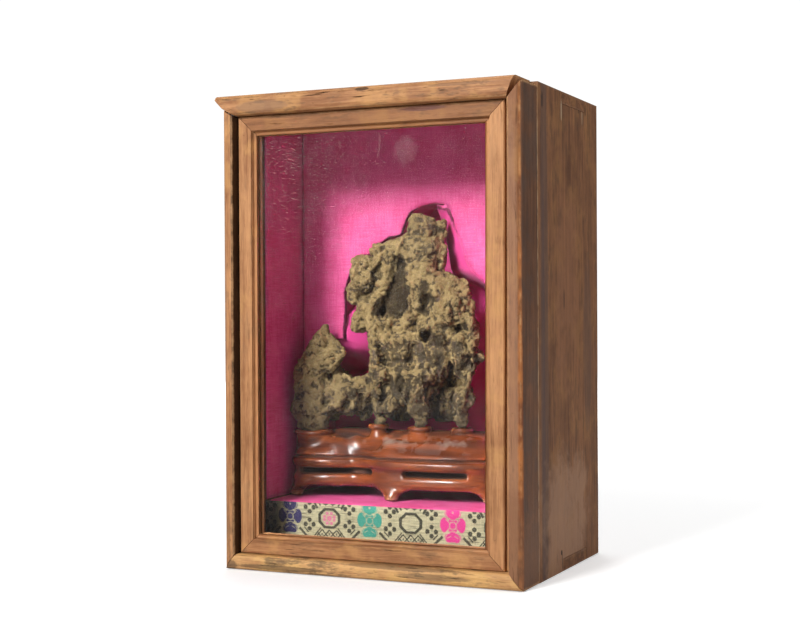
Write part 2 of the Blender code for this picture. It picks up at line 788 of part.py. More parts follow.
def lattice_noise(p, size, seed):
    """Smooth noise between -1 and 1 on a repeating lattice of random values."""
    table = np.random.default_rng(seed).random((32, 32, 32)) * 2 - 1
    q = p / size
    base = np.floor(q).astype(int)
    f = q - base
    f = f * f * (3 - 2 * f)
    total = 0
    for dx in (0, 1):
        for dy in (0, 1):
            for dz in (0, 1):
                corner = table[
                    (base[..., 0] + dx) % 32, (base[..., 1] + dy) % 32, (base[..., 2] + dz) % 32
                ]
                wx = f[..., 0] if dx else 1 - f[..., 0]
                wy = f[..., 1] if dy else 1 - f[..., 1]
                wz = f[..., 2] if dz else 1 - f[..., 2]
                total = total + corner * wx * wy * wz
    return total


def limb_distance(p, a, ra, b, rb):
    a = np.array(a, float)
    b = np.array(b, float)
    ab = b - a
    t = np.clip(((p - a) @ ab) / (ab @ ab), 0, 1)
    gap = np.linalg.norm(p - a - t[..., None] * ab, axis=-1)
    return gap - (ra + (rb - ra) * t)


def mass_distance(p, middle, half):
    q = p - np.array(middle, float)
    half = np.array(half, float)
    near = np.linalg.norm(q / half, axis=-1)
    slope = np.linalg.norm(q / half**2, axis=-1)
    return near * (near - 1) / np.maximum(slope, 1e-6)


def blend(a, b, width):
    """Union of two distances with a fillet of about the width."""
    h = np.clip(width - np.abs(a - b), 0, None) / width
    return np.minimum(a, b) - h * h * width / 4


def carve(a, b, width):
    return -blend(-a, b, width)


def outline_distance(x, z, points):
    """Signed distance in the x-z plane to a closed outline, negative inside."""
    best = np.full(x.shape, 1e9)
    inside = np.zeros(x.shape, bool)
    for i, (ax, az) in enumerate(points):
        bx, bz = points[i - 1]
        ex, ez = bx - ax, bz - az
        t = np.clip(((x - ax) * ex + (z - az) * ez) / (ex * ex + ez * ez), 0, 1)
        gap = np.hypot(x - ax - t * ex, z - az - t * ez)
        best = np.minimum(best, gap)
        crosses = (az > z) != (bz > z)
        run = ez if abs(ez) > 1e-9 else 1e-9
        inside ^= crosses & (x < ax + (z - az) / run * ex)
    return np.where(inside, -best, best)


def keep_clear(p, d):
    """Trims the rock so that it stays clear of its sockets, the padded back and the silk wall."""
    x, y, z = p[..., 0], p[..., 1], p[..., 2]
    floor = 88.6 - z
    for _, cx, cy, rx, ry, rim, _ in SOCKETS:
        away = np.hypot((x - cx) / (rx - 2.9), (y - cy) / (ry - 2.9))
        cup = (away - 1) * min(rx - 2.9, ry - 2.9)
        bottom = (rim - 2.6) - z
        over = np.maximum(bottom, cup)
        lip = (rim + 0.7) - z
        near = np.hypot((x - cx) / (rx + 2.5), (y - cy) / (ry + 2.5))
        ring = np.maximum(lip, (near - 1) * min(rx + 2.5, ry + 2.5))
        floor = np.minimum(floor, np.minimum(over, ring))
    d = np.maximum(d, floor)
    d = np.maximum(d, -90.6 - x)
    wall = np.minimum(outline_distance(x, z, CUT_OUT) + 0.9, 1e3)
    behind = (PAD_FRONT / MM - 0.8) - y
    d = np.maximum(d, np.minimum(wall, -behind))
    return np.maximum(d, y - 56.0)


def rock_field(p):
    """Distance to the rock's surface, negative inside."""
    warp = np.stack([lattice_noise(p, 13.0, 11 + n) for n in range(3)], axis=-1) * 1.5
    q = p + warp
    d = None
    for _, middle, half in MASSES:
        part = mass_distance(q, middle, half)
        d = part if d is None else blend(d, part, 3.0)
    for _, a, ra, b, rb in LIMBS:
        d = blend(d, limb_distance(q, a, ra, b, rb), 2.4)
    stretched = p * np.array([1.0, 1.0, 0.62])
    furrow = np.abs(lattice_noise(stretched, 7.5, 3))
    lumps = lattice_noise(p, 5.0, 5)
    d = d + 1.8 - 4.4 * furrow + 1.0 * lumps
    for _, a, ra, b, rb in HOLLOWS:
        d = carve(d, limb_distance(q, a, ra, b, rb), 1.2)
    return keep_clear(p, d)


def surface_of(field, start, step):
    """Surface of a sampled field: one point per crossed cell, one quad per crossed edge."""
    cells = tuple(n - 1 for n in field.shape)
    total = np.zeros(cells + (3,))
    count = np.zeros(cells)
    quads = []
    inside = field < 0
    for axis in range(3):
        size = field.shape[axis]
        low = np.take(field, range(size - 1), axis)
        high = np.take(field, range(1, size), axis)
        starts = np.take(inside, range(size - 1), axis)
        ends = np.take(inside, range(1, size), axis)
        index = np.argwhere(starts != ends)
        where = tuple(index.T)
        point = index.astype(float)
        point[:, axis] += low[where] / (low[where] - high[where])
        u, v = [n for n in range(3) if n != axis]
        around = []
        for du, dv in ((-1, -1), (0, -1), (0, 0), (-1, 0)):
            cell = index.copy()
            cell[:, u] += du
            cell[:, v] += dv
            around.append(cell)
            np.add.at(total, tuple(cell.T), point)
            np.add.at(count, tuple(cell.T), 1)
        flip = starts[where] ^ (axis == 1)
        quads.append((around, flip))
    used = np.argwhere(count > 0)
    number = np.full(cells, -1)
    number[tuple(used.T)] = np.arange(len(used))
    verts = total[tuple(used.T)] / count[tuple(used.T)][:, None] * step + start
    faces = []
    for around, flip in quads:
        ids = np.stack([number[tuple(c.T)] for c in around], axis=1)
        ids[~flip] = ids[~flip][:, ::-1]
        faces.extend(ids.tolist())
    return verts, faces


def largest_shell(mesh):
    """Keeps the outer body alone."""
    bm = bmesh.new()
    bm.from_mesh(mesh)
    left = set(bm.faces)
    shells = []
    while left:
        todo = [left.pop()]
        shell = list(todo)
        while todo:
            face = todo.pop()
            for edge in face.edges:
                for other in edge.link_faces:
                    if other in left:
                        left.remove(other)
                        todo.append(other)
                        shell.append(other)
        shells.append(shell)
    shells.sort(key=len)
    for shell in shells[:-1]:
        bmesh.ops.delete(bm, geom=shell, context="FACES")
    bmesh.ops.delete(bm, geom=[v for v in bm.verts if not v.link_faces], context="VERTS")
    bm.to_mesh(mesh)
    bm.free()


def apply_step(obj, kind, **settings):
    step = obj.modifiers.new("step", kind)
    for key, value in settings.items():
        setattr(step, key, value)
    bpy.context.view_layer.update()
    graph = bpy.context.evaluated_depsgraph_get()
    mesh = bpy.data.meshes.new_from_object(obj.evaluated_get(graph))
    obj.modifiers.remove(step)
    obj.data = mesh


def rock():
    step = 1.5
    start = np.array([-96.0, -18.0, 76.0])
    shape = (98, 54, 108)
    grid = np.stack(np.meshgrid(*[np.arange(n) for n in shape], indexing="ij"), axis=-1)
    field = rock_field(grid * step + start)
    verts, faces = surface_of(field, start, step)
    stone = piece("rock", (verts * MM).tolist(), faces, ROCK, 0.9)
    largest_shell(stone.data)
    apply_step(stone, "REMESH", mode="VOXEL", voxel_size=0.0014)
    largest_shell(stone.data)
    triangles = 2 * len(stone.data.polygons)
    apply_step(stone, "DECIMATE", ratio=ROCK_TRIANGLES / triangles, use_collapse_triangulate=True)
    paint(stone, ROCK, 0.9)
    return stone


clear()
boards()
front_strips()
panel()
linings()
plinth()
back_pad()
stand()
rock()
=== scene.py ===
import functools
import itertools
import math

import bmesh
import bpy
import numpy as np
from mathutils import Matrix, Vector


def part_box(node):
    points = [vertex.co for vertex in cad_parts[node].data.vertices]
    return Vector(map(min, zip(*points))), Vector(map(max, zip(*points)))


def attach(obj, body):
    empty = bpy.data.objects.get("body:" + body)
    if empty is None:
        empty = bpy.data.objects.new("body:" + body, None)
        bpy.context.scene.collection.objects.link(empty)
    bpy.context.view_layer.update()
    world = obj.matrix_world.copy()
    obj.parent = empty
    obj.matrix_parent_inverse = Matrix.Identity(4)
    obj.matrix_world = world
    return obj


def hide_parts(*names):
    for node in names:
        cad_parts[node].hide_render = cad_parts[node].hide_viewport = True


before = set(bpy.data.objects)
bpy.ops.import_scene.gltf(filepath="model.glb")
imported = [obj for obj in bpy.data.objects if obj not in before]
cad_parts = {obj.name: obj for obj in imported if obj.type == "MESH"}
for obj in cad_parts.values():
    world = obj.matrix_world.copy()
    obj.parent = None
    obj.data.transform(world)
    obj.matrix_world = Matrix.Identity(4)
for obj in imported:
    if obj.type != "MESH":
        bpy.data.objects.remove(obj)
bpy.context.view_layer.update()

MM = 0.001


# ---------------------------------------------------------------- boards of the case
# Two sides, a top, a bottom and a back of thin softwood planks stained dark brown, joined by one
# broad finger at each corner and nailed. They have dried, cracked and picked up dirt and knocks.

def math_node(operation, turned=False):
    """A method that adds a Math node of the socket and one other value."""
    def method(self, other):
        return self.math(operation, *((other, self) if turned else (self, other)))
    return method


class Finish:
    """A socket among a material's nodes. Sums on it add Math nodes; node() adds any other."""

    def __init__(self, tree, socket=None):
        self.tree = tree
        self.socket = socket

    def node(self, kind, settings=None, values=None, output=0):
        made = self.tree.nodes.new("ShaderNode" + kind)
        for name, setting in (settings or {}).items():
            setattr(made, name, setting)
        for name, value in (values or {}).items():
            if isinstance(value, Finish):
                self.tree.links.new(value.socket, made.inputs[name])
            else:
                made.inputs[name].default_value = value
        return Finish(self.tree, made.outputs[output])

    def math(self, operation, *values):
        return self.node("Math", {"operation": operation}, dict(enumerate(values)))

    __add__ = math_node("ADD")
    __radd__ = math_node("ADD", turned=True)
    __sub__ = math_node("SUBTRACT")
    __rsub__ = math_node("SUBTRACT", turned=True)
    __mul__ = math_node("MULTIPLY")
    __truediv__ = math_node("DIVIDE")
    least = math_node("MINIMUM")
    most = math_node("MAXIMUM")

    def size(self):
        return self.math("ABSOLUTE", self)

    def step(self, low, high):
        """0 below low, 1 above high and smooth between; high may be the smaller."""
        ends = (low, high, 0, 1) if low < high else (high, low, 1, 0)
        settings = {"interpolation_type": "SMOOTHSTEP"}
        return self.node("MapRange", settings, dict(enumerate((self, *ends))))

    def mix(self, first, second):
        """The first colour where this is 0 and the second where it is 1."""
        first, second = ((*c, 1) if isinstance(c, tuple) else c for c in (first, second))
        return self.node("Mix", {"data_type": "RGBA"}, {0: self, 6: first, 7: second}, 2)

    def stretched(self, x, y, z):
        return self.node("VectorMath", {"operation": "MULTIPLY"}, {0: self, 1: (x, y, z)})

    def moved(self, x, y, z):
        return self.node("VectorMath", {"operation": "ADD"}, {0: self, 1: (x, y, z)})

    def split(self):
        return [self.node("SeparateXYZ", None, {0: self}, i) for i in range(3)]

    def grain(self, scale, detail=2, rough=0.5, twist=0):
        """Noise over these coordinates."""
        values = {"Vector": self, "Scale": scale, "Detail": detail, "Roughness": rough}
        return self.node("TexNoise", None, {**values, "Distortion": twist})

    def cells(self, scale, feature="F1"):
        return self.node("TexVoronoi", {"feature": feature}, {"Vector": self, "Scale": scale})

    def kept(self, name):
        """A number stored with the mesh, one for each point."""
        return self.node("Attribute", {"attribute_name": name}, None, 2)


def new_finish(name):
    """An empty material: its Principled shader and its coordinates in the object, in metres."""
    material = bpy.data.materials.new(name)
    material.use_nodes = True
    tree = material.node_tree
    return material, tree.nodes["Principled BSDF"], Finish(tree).node("TexCoord", None, None, 3)


def feed(shader, **inputs):
    """Links or sets the shader's sockets by name, with _ for a space."""
    for name, value in inputs.items():
        socket = shader.inputs[name.replace("_", " ")]
        if isinstance(value, Finish):
            value.tree.links.new(value.socket, socket)
        else:
            socket.default_value = (*value, 1) if isinstance(value, tuple) else value


def apart(u, v):
    square = u * u + v * v
    return square.math("SQRT", square)


def relief(height, depth, strength=1):
    """A bump of this height field, whose full range stands for depth in metres."""
    values = {"Height": height, "Distance": depth, "Strength": strength}
    return height.node("Bump", None, values)


def dress(node, material):
    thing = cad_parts[node]
    thing.data.materials.clear()
    thing.data.materials.append(material)


def layered(colour, *layers):
    """Lays tints over a colour, each by its share."""
    for share, tint in layers:
        colour = share.mix(colour, tint)
    return colour


def arris(here, node):
    """Distance in metres to the nearest edge of the node's box, for points on its faces."""
    low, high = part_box(node)
    gaps = [(p - a).least(b - p) for p, a, b in zip(here.split(), low, high)]
    small = gaps[0].least(gaps[1])
    large = gaps[0].most(gaps[1])
    return small.most(large.least(gaps[2]))


def marked(colour, here, face, marks):
    """Lays small stains over a colour, and the painted light and shadow listed with them: middle
    and half size in millimetres, tint, strength.
    """
    u, v = (here.split()[n] for n in face)
    fray = (here.grain(420, 3, 0.7) - 0.5) * 0.9
    cloud = (here.grain(38, 4, 0.65, 0.4) - 0.5) * 3.2
    for mu, mv, hu, hv, tint, strength in marks:
        edge, inner = (cloud, 0.1) if min(hu, hv) > BROAD else (fray, 0.55)
        du = (u - mu * MM) / (hu * MM)
        dv = (v - mv * MM) / (hv * MM)
        far = (du * du + dv * dv) + edge
        colour = (far.step(1.15, inner) * strength).mix(colour, tint)
    return colour


def planed_wood(coat, node, along, pale, deep, worn, seed, rings, splits, rub, weather, shine,
                marks, face=(0, 2), stained=None):
    """Dresses a node in planed wood, its grain along one axis.

    It has fibres, rings, open splits, grime and worn arrises.
    """
    material, shader, here = new_finish(coat + "_" + node)
    run = [1, 1, 1]
    run[along] = 0.05
    flow = here.moved(seed * 0.37, seed * 0.11, seed * 0.53).stretched(*run)
    drift = flow.grain(30, 2, 0.5)
    fibre = flow.grain(1300, 3, 0.7)
    streak = flow.grain(300, 4, 0.68)
    broad = flow.grain(60, 2, 0.5)
    cloud = here.moved(seed, 0, 0).grain(34, 4, 0.7)
    ring = drift.math("SINE", drift * 60) * 0.5
    tone = (fibre - 0.5) * 0.9 + (streak - 0.5) * 1.5 + (broad - 0.5) * 0.8 + ring * rings
    tone = tone + (cloud - 0.5) * 0.9 + 0.5
    honey = here.moved(0, seed, seed).grain(48, 3, 0.6).step(0.48, 0.66)
    amber = (pale[0] * 1.08, pale[1] * 1.16, pale[2] * 0.95)
    colour = (honey * 0.45).mix(tone.step(0, 1).mix(deep, pale), amber)
    # stained lays more colour: a stain on the right post, and painted shade down the groove of the
    # left post
    if stained:
        colour = stained(colour, here, tone)
    run[along] = 0.22
    grime = here.moved(seed, 0, seed).stretched(*run).grain(210, 4, 0.7)
    grime = (grime * 0.75 + cloud * 0.5).step(0.64, 0.76) * weather
    run[along] = 0.06
    gash = here.moved(seed, seed, 0).stretched(*run).grain(760, 3, 0.75, 0.3)
    where = here.moved(0, seed, 0).grain(60, 2).step(0.38, 0.6)
    split = gash.step(0.6, 0.68) * where * splits
    chafe = here.grain(130, 3, 0.7)
    edge = (arris(here, node) + (chafe - 0.5) * 0.0034).step(0.0016, 0.0001)
    dirt = here.moved(0, 0, seed).grain(300, 4, 0.75).step(0.64, 0.74)
    colour = layered(
        colour,
        (grime, (deep[0] * 0.42, deep[1] * 0.62, deep[2] * 0.85)),
        (split, tuple(c * 0.16 for c in deep)),
        (edge * 0.8 * rub, worn),
        (dirt * 0.45, tuple(c * 0.3 for c in deep)),
    )
    colour = marked(colour, here, face, marks)
    height = fibre * 0.4 - split * 1.3 + chafe * 0.35 + streak * 0.5 - dirt * 0.3
    feed(
        shader, Base_Color=colour, Roughness=(fibre * 0.16 + shine - edge * 0.06),
        Specular_IOR_Level=0.2, Normal=relief(height, 0.00055, 0.8),
    )
    dress(node, material)


SIDE_PALE = (0.275, 0.118, 0.05)
SIDE_DEEP = (0.105, 0.043, 0.019)
SIDE_WORN = (0.4, 0.22, 0.13)
BLACK_DIRT = (0.02, 0.012, 0.009)
RAW_WOOD = (0.46, 0.36, 0.24)
# Stains and knocks of the right side, across it (y) and up it (z); broad ones fray like clouds.
# The broad pale patch low down is painted light thrown up from the floor.
BROAD = 15
SIDE_MARKS = (
    (-35, 150, 8, 220, (0.095, 0.058, 0.047), 0.6),
    (-37, 110, 3, 160, (0.08, 0.055, 0.055), 0.45),
    (8, 180, 26, 70, (0.31, 0.135, 0.065), 0.45),
    (52, 140, 10, 60, (0.12, 0.066, 0.045), 0.5),
    # painted light: the lower side lit from the floor, as a broad pale patch
    (4, 34, 52, 46, (0.38, 0.215, 0.13), 0.62),
    (3, 170, 0.9, 7, BLACK_DIRT, 0.85),
    (-4, 12, 1.6, 1.8, BLACK_DIRT, 0.9),
    (-2.6, 7, 0.9, 6, BLACK_DIRT, 0.6),
    (-1, 288, 1.4, 7, RAW_WOOD, 0.55),
    (34, 294, 1.1, 4.5, BLACK_DIRT, 0.85),
    (42, 289, 0.8, 6, RAW_WOOD, 0.55),
    (49, 294, 1, 4, BLACK_DIRT, 0.85),
    (-38, 290, 2.2, 5.5, BLACK_DIRT, 0.6),
)

for board, along, seed, marks in (
    ("side_left", 2, 1, ()),
    ("side_right", 2, 2, SIDE_MARKS),
    ("top_board", 0, 3, ()),
    ("bottom_board", 0, 4, ()),
    ("back_board", 2, 5, ()),
):
    planed_wood(
        "stained", board, along, SIDE_PALE, SIDE_DEEP, SIDE_WORN, seed, rings=0.1, splits=0.3,
        rub=0.25, weather=0.45, shine=0.55, marks=marks, face=(1, 2),
    )


# ---------------------------------------------------------------- front strips of the case
# Thicker strips of a harder golden wood glued to the front edges of the boards: two grooved posts
# and a bottom rail, mitred where they meet. The outer arrises are rounded and rubbed pale.

FRONT_PALE = (0.56, 0.275, 0.12)
FRONT_DEEP = (0.255, 0.104, 0.042)
FRONT_WORN = (0.6, 0.335, 0.155)
ORANGE_WORN = (0.5, 0.17, 0.045)
POST_PALE = (0.37, 0.165, 0.072)
POST_DEEP = (0.165, 0.064, 0.028)
RAIL_PALE = (0.72, 0.405, 0.165)
RAIL_DEEP = (0.31, 0.135, 0.055)
POST_MARKS = (
    (94, 120, 4.5, 170, (0.32, 0.165, 0.095), 0.5),
    (94, 16, 8, 46, (0.22, 0.1, 0.05), 0.55),
)
RAIL_MARKS = (
    (-60, 3, 34, 1.8, (0.1, 0.06, 0.032), 0.7),
    (20, 8.5, 40, 1.4, (0.13, 0.075, 0.04), 0.6),
    (44, 4.5, 26, 2, (0.16, 0.1, 0.055), 0.6),
    (-97, 3, 6, 3.5, (0.11, 0.065, 0.04), 0.7),
    (96, 4.5, 3.6, 3, (0.62, 0.36, 0.14), 0.6),
)


def outer_stain(colour, here, tone):
    """The post's outer face was stained with the side of the case, and is lighter behind."""
    x, y, z = here.split()
    outer = (x + (tone - 0.5) * 0.0003).step(0.0996, 0.1001)
    grey = here.grain(30, 3, 0.6).step(0.45, 0.6) * 0.5
    joint = (y + 0.047).size().step(0.0009, 0.0003) * here.grain(90, 3).step(0.42, 0.55)
    stain = layered(
        tone.step(0, 1).mix((0.085, 0.037, 0.019), (0.21, 0.088, 0.04)),
        (grey, (0.085, 0.055, 0.042)),
        (joint * 0.65, (0.42, 0.3, 0.19)),
    )
    # the outer arris is rubbed, more so low down
    near = apart(x - 0.1004, y + 0.076)
    ragged = here.stretched(1, 1, 0.35).grain(170, 4, 0.7) * 0.0022
    wide = z.step(0.26, 0.06) * 0.0011 + 0.0004
    rubbed = (near - ragged - wide).step(0.0007, -0.0004)
    tint = here.grain(60, 2).step(0.45, 0.6).mix(ORANGE_WORN, (0.22, 0.065, 0.022))
    return layered(colour, (outer, stain), (rubbed * 0.75, tint))


def groove_shade(colour, here, tone):
    """Painted shade down the groove beside the sliding front."""
    # painted shade: near black deep in the groove
    deep = here.split()[0].step(-0.0945, -0.0938)
    return (deep * 0.9).mix(colour, (0.022, 0.012, 0.008))


for strip, along, seed, pale, deep, weather, splits, marks, stained in (
    ("post_left", 2, 6, FRONT_PALE, FRONT_DEEP, 0.5, 0.4,
     ((-101, 150, 4, 160, (0.36, 0.2, 0.12), 0.4),), groove_shade),
    ("post_right", 2, 7, POST_PALE, POST_DEEP, 0.5, 0.5, POST_MARKS, outer_stain),
    ("bottom_rail", 0, 8, RAIL_PALE, RAIL_DEEP, 0.75, 0.9, RAIL_MARKS, None),
):
    planed_wood(
        "oiled", strip, along, pale, deep, FRONT_WORN, seed, rings=0.16, splits=splits, rub=0.8,
        weather=weather, shine=0.46, marks=marks, stained=stained,
    )


# ---------------------------------------------------------------- the sliding front
# A mitred frame with a bead round the glass and the top rail glued to its head. Its tongues run in
# the grooves of the posts, and it is lifted by the overhang of the top rail.

HEAD_PALE = (0.345, 0.15, 0.06)
HEAD_DEEP = (0.165, 0.064, 0.025)
# Dark bands along the top of the head, under the top rail: purplish stain and painted shadow of the
# rail.
HEAD_MARKS = (
    (36, 285, 16, 1.8, (0.1, 0.035, 0.035), 0.65),
    (-52, 285.5, 26, 1.2, (0.12, 0.055, 0.025), 0.5),
)
TOP_MARKS = (
    (-2, 298.2, 5, 1.3, (0.06, 0.03, 0.015), 0.85),
    (-72, 292, 20, 4, (0.24, 0.13, 0.075), 0.6),
    (60, 297, 20, 1.2, (0.12, 0.06, 0.03), 0.5),
)
for member, along, seed, pale, deep, splits, weather, marks in (
    ("panel_stile_left", 2, 9, FRONT_PALE, FRONT_DEEP, 0.3, 0.25, ()),
    ("panel_stile_right", 2, 10, FRONT_PALE, FRONT_DEEP, 0.3, 0.15, ()),
    ("panel_head", 0, 11, HEAD_PALE, HEAD_DEEP, 0.35, 0.4, HEAD_MARKS),
    ("panel_foot", 0, 12, FRONT_PALE, FRONT_DEEP, 0.6, 0.45, ()),
    ("top_rail", 0, 13, FRONT_PALE, FRONT_DEEP, 1, 0.6, TOP_MARKS),
):
    planed_wood(
        "oiled", member, along, pale, deep, FRONT_WORN, seed, rings=0.14, splits=splits, rub=0.7,
        weather=weather, shine=0.44, marks=marks,
    )


# ---------------------------------------------------------------- the pane
# One thin pane of old glass in the groove of the frame, dusty inside, with finger marks and fine
# scratches on its face.

DUST = (0.62, 0.55, 0.52)
# Metres on the pane (x, z): the finger mark and its half sizes, two scratches, a scratch's edges.
FINGER = (0.0225, 0.2612)
FINGER_SIZE = (0.0082, 0.0092)
SCRATCH = (0.0052, 0.268)
SHORT_SCRATCH = (-0.0215, 0.262)
HAIR = (0.00011, 0.00003)


def dusty_glass():
    material, shader, here = new_finish("dusty_pane")
    tree = material.node_tree
    x, y, z = here.split()
    feed(shader, Base_Color=(1, 1, 1), Roughness=0, IOR=1.16, Transmission_Weight=1)
    film = here.grain(16, 4, 0.7).step(0.45, 0.8)
    upper = z.step(0.16, 0.285) * (1 - x.step(-0.06, 0.08) * 0.5)
    grit = here.stretched(1, 0, 1)
    corner = z.step(0.1, 0.26) * x.step(0.03, -0.06)
    cluster = grit.grain(75, 3, 0.7)
    speck = grit.grain(1500, 1, 0.5).step(0.62, 0.74)
    speck = speck * (cluster + corner * 0.1).step(0.36, 0.6) * (z.step(0.1, 0.24) * 0.75 + 0.25)
    mote = grit.moved(3, 0, 0).cells(210).step(0.06, 0.025)
    mote = mote * grit.grain(40, 2).step(0.45, 0.6)
    # the print of a finger, and two hair-thin scratches near the top
    du = (x - FINGER[0]) / FINGER_SIZE[0]
    dv = (z - FINGER[1]) / FINGER_SIZE[1]
    whorl = (du * du + dv * dv) + (grit.grain(260, 3, 0.7) - 0.5) * 1.3
    print_mark = whorl.step(1.3, 0.3) * (0.01 + grit.grain(300, 3, 0.7) * 0.034)
    rise = z - SCRATCH[1]
    long = (x - SCRATCH[0] + rise * rise * 16).size().step(*HAIR)
    long = long * (z - 0.2645).size().step(0.008, 0.0062)
    short = (x - SHORT_SCRATCH[0] + (z - SHORT_SCRATCH[1]) * 0.12).size().step(*HAIR)
    short = short * (z - 0.2665).size().step(0.0026, 0.0018)
    scratch = long.most(short) * 0.3
    smear = here.stretched(0.25, 1, 1).grain(120, 3, 0.7).step(0.45, 0.7)
    smear = z.step(0.2725, 0.276) * smear
    veil = film * 0.007 + upper * (0.004 + film * 0.018) + speck * (0.2 + corner * 0.3)
    veil = (veil + mote * 0.5 + print_mark + scratch + smear * 0.05 + 0.002).least(0.9)
    powder = here.node("BsdfDiffuse", None, {0: (*DUST, 1)})
    lamp = here.node("LightPath", None, None, 1)
    open_way = here.node("BsdfTransparent")
    clear = lamp.node("MixShader", None, {0: lamp, 2: open_way})
    tree.links.new(shader.outputs[0], clear.socket.node.inputs[1])
    both = veil.node("MixShader", None, {0: veil, 1: clear, 2: powder})
    tree.links.new(both.socket, tree.nodes["Material Output"].inputs[0])
    return material


dress("glass_pane", dusty_glass())


# ---------------------------------------------------------------- silk linings
# Plain-woven magenta silk pasted over the inside of the boards. It follows the board closely, with
# small bubbles.

SILK_BRIGHT = (0.76, 0.118, 0.33)
SILK_DEEP = (0.6, 0.042, 0.19)
# Metres: the relief of the threads, a sheet's cells and thickness, its bubbles' widths and heights.
THREAD = 0.00025
SHEET_CELL = 0.0035
CLOTH = 0.00013
BUBBLES = ((0.013, 0.00009), (0.005, 0.00004))


def woven(here):
    """Flat threads both ways, with slubs: warp, weft, slub and their colour."""
    warp = here.stretched(1, 1, 0.06).grain(1300, 2, 0.6)
    weft = here.stretched(0.06, 0.06, 1).grain(1300, 2, 0.6)
    slub = here.grain(55, 3, 0.6)
    tone = (warp + weft) * 0.5 + (slub - 0.5) * 0.5
    return warp, weft, slub, tone.step(0.25, 0.75).mix(SILK_DEEP, SILK_BRIGHT)


def silk(name):
    material, shader, here = new_finish(name)
    warp, weft, slub, colour = woven(here)
    feed(
        shader, Base_Color=colour, Roughness=warp * 0.15 + 0.6, Specular_IOR_Level=0.25,
        Sheen_Weight=0.12, Sheen_Roughness=0.4, Sheen_Tint=(1, 0.4, 0.65),
        Normal=relief(warp.most(weft) + slub * 0.5, THREAD, 0.6),
    )
    return material


def read_between(table, base, part):
    """The table between its values: in the cell at base, this part of the way across it."""
    total = 0
    for corner in itertools.product((0, 1), repeat=3):
        spot = (base + corner) % table.shape
        value = table[tuple(spot[..., n] for n in range(3))]
        for n, far in enumerate(corner):
            value = value * (part[..., n] if far else 1 - part[..., n])
        total = total + value
    return total


def lattice_noise(p, size, seed):
    """Smooth noise between -1 and 1 on a repeating lattice of random values."""
    table = np.random.default_rng(seed).random((32, 32, 32)) * 2 - 1
    base = np.floor(p / size).astype(int)
    part = p / size - base
    return read_between(table, base, part * part * (3 - 2 * part))


def seated(thing, material, node):
    """Gives a piece its material and place: on the case, instead of its CAD node."""
    mesh = thing.data
    mesh.materials.clear()
    mesh.materials.append(material)
    mesh.polygons.foreach_set("use_smooth", [True] * len(mesh.polygons))
    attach(thing, "case")
    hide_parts(node)
    return thing


def laid(name, data):
    thing = bpy.data.objects.new(name, data)
    bpy.context.scene.collection.objects.link(thing)
    return thing


def shell(name, verts, faces):
    mesh = bpy.data.meshes.new(name)
    mesh.from_pydata(verts, [], faces)
    return laid(name, mesh)


def pasted_sheet(name, node, axis, end, out, material, seed, back=0.0003, lap=0):
    """A thin sheet of cloth pasted flat, with faint bubbles.

    It lies square to the axis, back from that end of the node's box (0 low, 1 high), and faces out.
    """
    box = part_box(node)
    wide, high = (n for n in range(3) if n != axis)
    corner, across, up = Vector(box[0]), Vector(), Vector()
    corner[axis] = box[end][axis] + (-back if end else back)
    across[wide] = box[1][wide] - box[0][wide]
    up[high] = box[1][high] - box[0][high] + lap
    nx, nz = (max(4, int(side.length / SHEET_CELL)) for side in (across, up))
    flat = np.array([corner + across * (i / nx) + up * (j / nz)
                     for j in range(nz + 1) for i in range(nx + 1)])
    rise = sum(
        lattice_noise(flat, size, seed + n) * tall for n, (size, tall) in enumerate(BUBBLES)
    )
    front = flat.copy()
    front[:, axis] += (rise + CLOTH) * out
    count = len(flat)
    ids = np.arange(count).reshape(nz + 1, nx + 1)
    faces = []
    for j, i in itertools.product(range(nz), range(nx)):
        quad = [ids[j, i], ids[j, i + 1], ids[j + 1, i + 1], ids[j + 1, i]]
        faces += [quad, [n + count for n in reversed(quad)]]
    rim = [*ids[0, :-1], *ids[:-1, -1], *ids[-1, :0:-1], *ids[:0:-1, 0]]
    faces += [[b, a, a + count, b + count] for a, b in zip(rim, rim[1:] + rim[:1])]
    thing = seated(shell(name, np.vstack([front, flat]).tolist(), faces), material, node)
    bm = bmesh.new()
    bm.from_mesh(thing.data)
    bmesh.ops.recalc_face_normals(bm, faces=bm.faces)
    bm.to_mesh(thing.data)
    bm.free()


wall_silk = silk("wall_silk")
for name, node, axis, end, out, seed in (
    ("silk_wall_left", "lining_left", 0, 1, 1, 21),
    ("silk_wall_right", "lining_right", 0, 0, -1, 23),
    ("silk_ceiling", "lining_top", 2, 0, -1, 25),
):
    pasted_sheet(name, node, axis, end, out, wall_silk, seed)


# ---------------------------------------------------------------- plinth and its brocade
# A block under the stand wrapped in the same silk, which shows on top and as a lit front edge. A
# strip of figured cream cloth, woven with flowers and octagons, is pasted over its front.

def reworked(thing, kind, **settings):
    step = thing.modifiers.new("step", kind)
    for name, setting in settings.items():
        setattr(step, name, setting)
    bpy.context.view_layer.update()
    graph = bpy.context.evaluated_depsgraph_get()
    mesh = bpy.data.meshes.new_from_object(thing.evaluated_get(graph))
    thing.modifiers.remove(step)
    thing.data = mesh


def wrapped(name, node, material, voxel, rounds):
    """A piece of the node's shape as cloth over wadding: its edges softened."""
    thing = laid(name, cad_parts[node].data.copy())
    reworked(thing, "REMESH", mode="VOXEL", voxel_size=voxel)
    reworked(thing, "SMOOTH", factor=0.5, iterations=rounds)
    return seated(thing, material, node)


def points_of(thing, what="co"):
    flat = np.zeros(len(thing.data.vertices) * 3)
    thing.data.vertices.foreach_get(what, flat)
    return flat.reshape(-1, 3)


def move_points(thing, points):
    thing.data.vertices.foreach_set("co", points.ravel())
    thing.data.update()


block = wrapped("silk_plinth", "plinth", silk("plinth_silk"), 0.0016, 3)
points = points_of(block)
points[:, 2] += lattice_noise(points, 0.011, 31) * 0.00012
move_points(block, points)

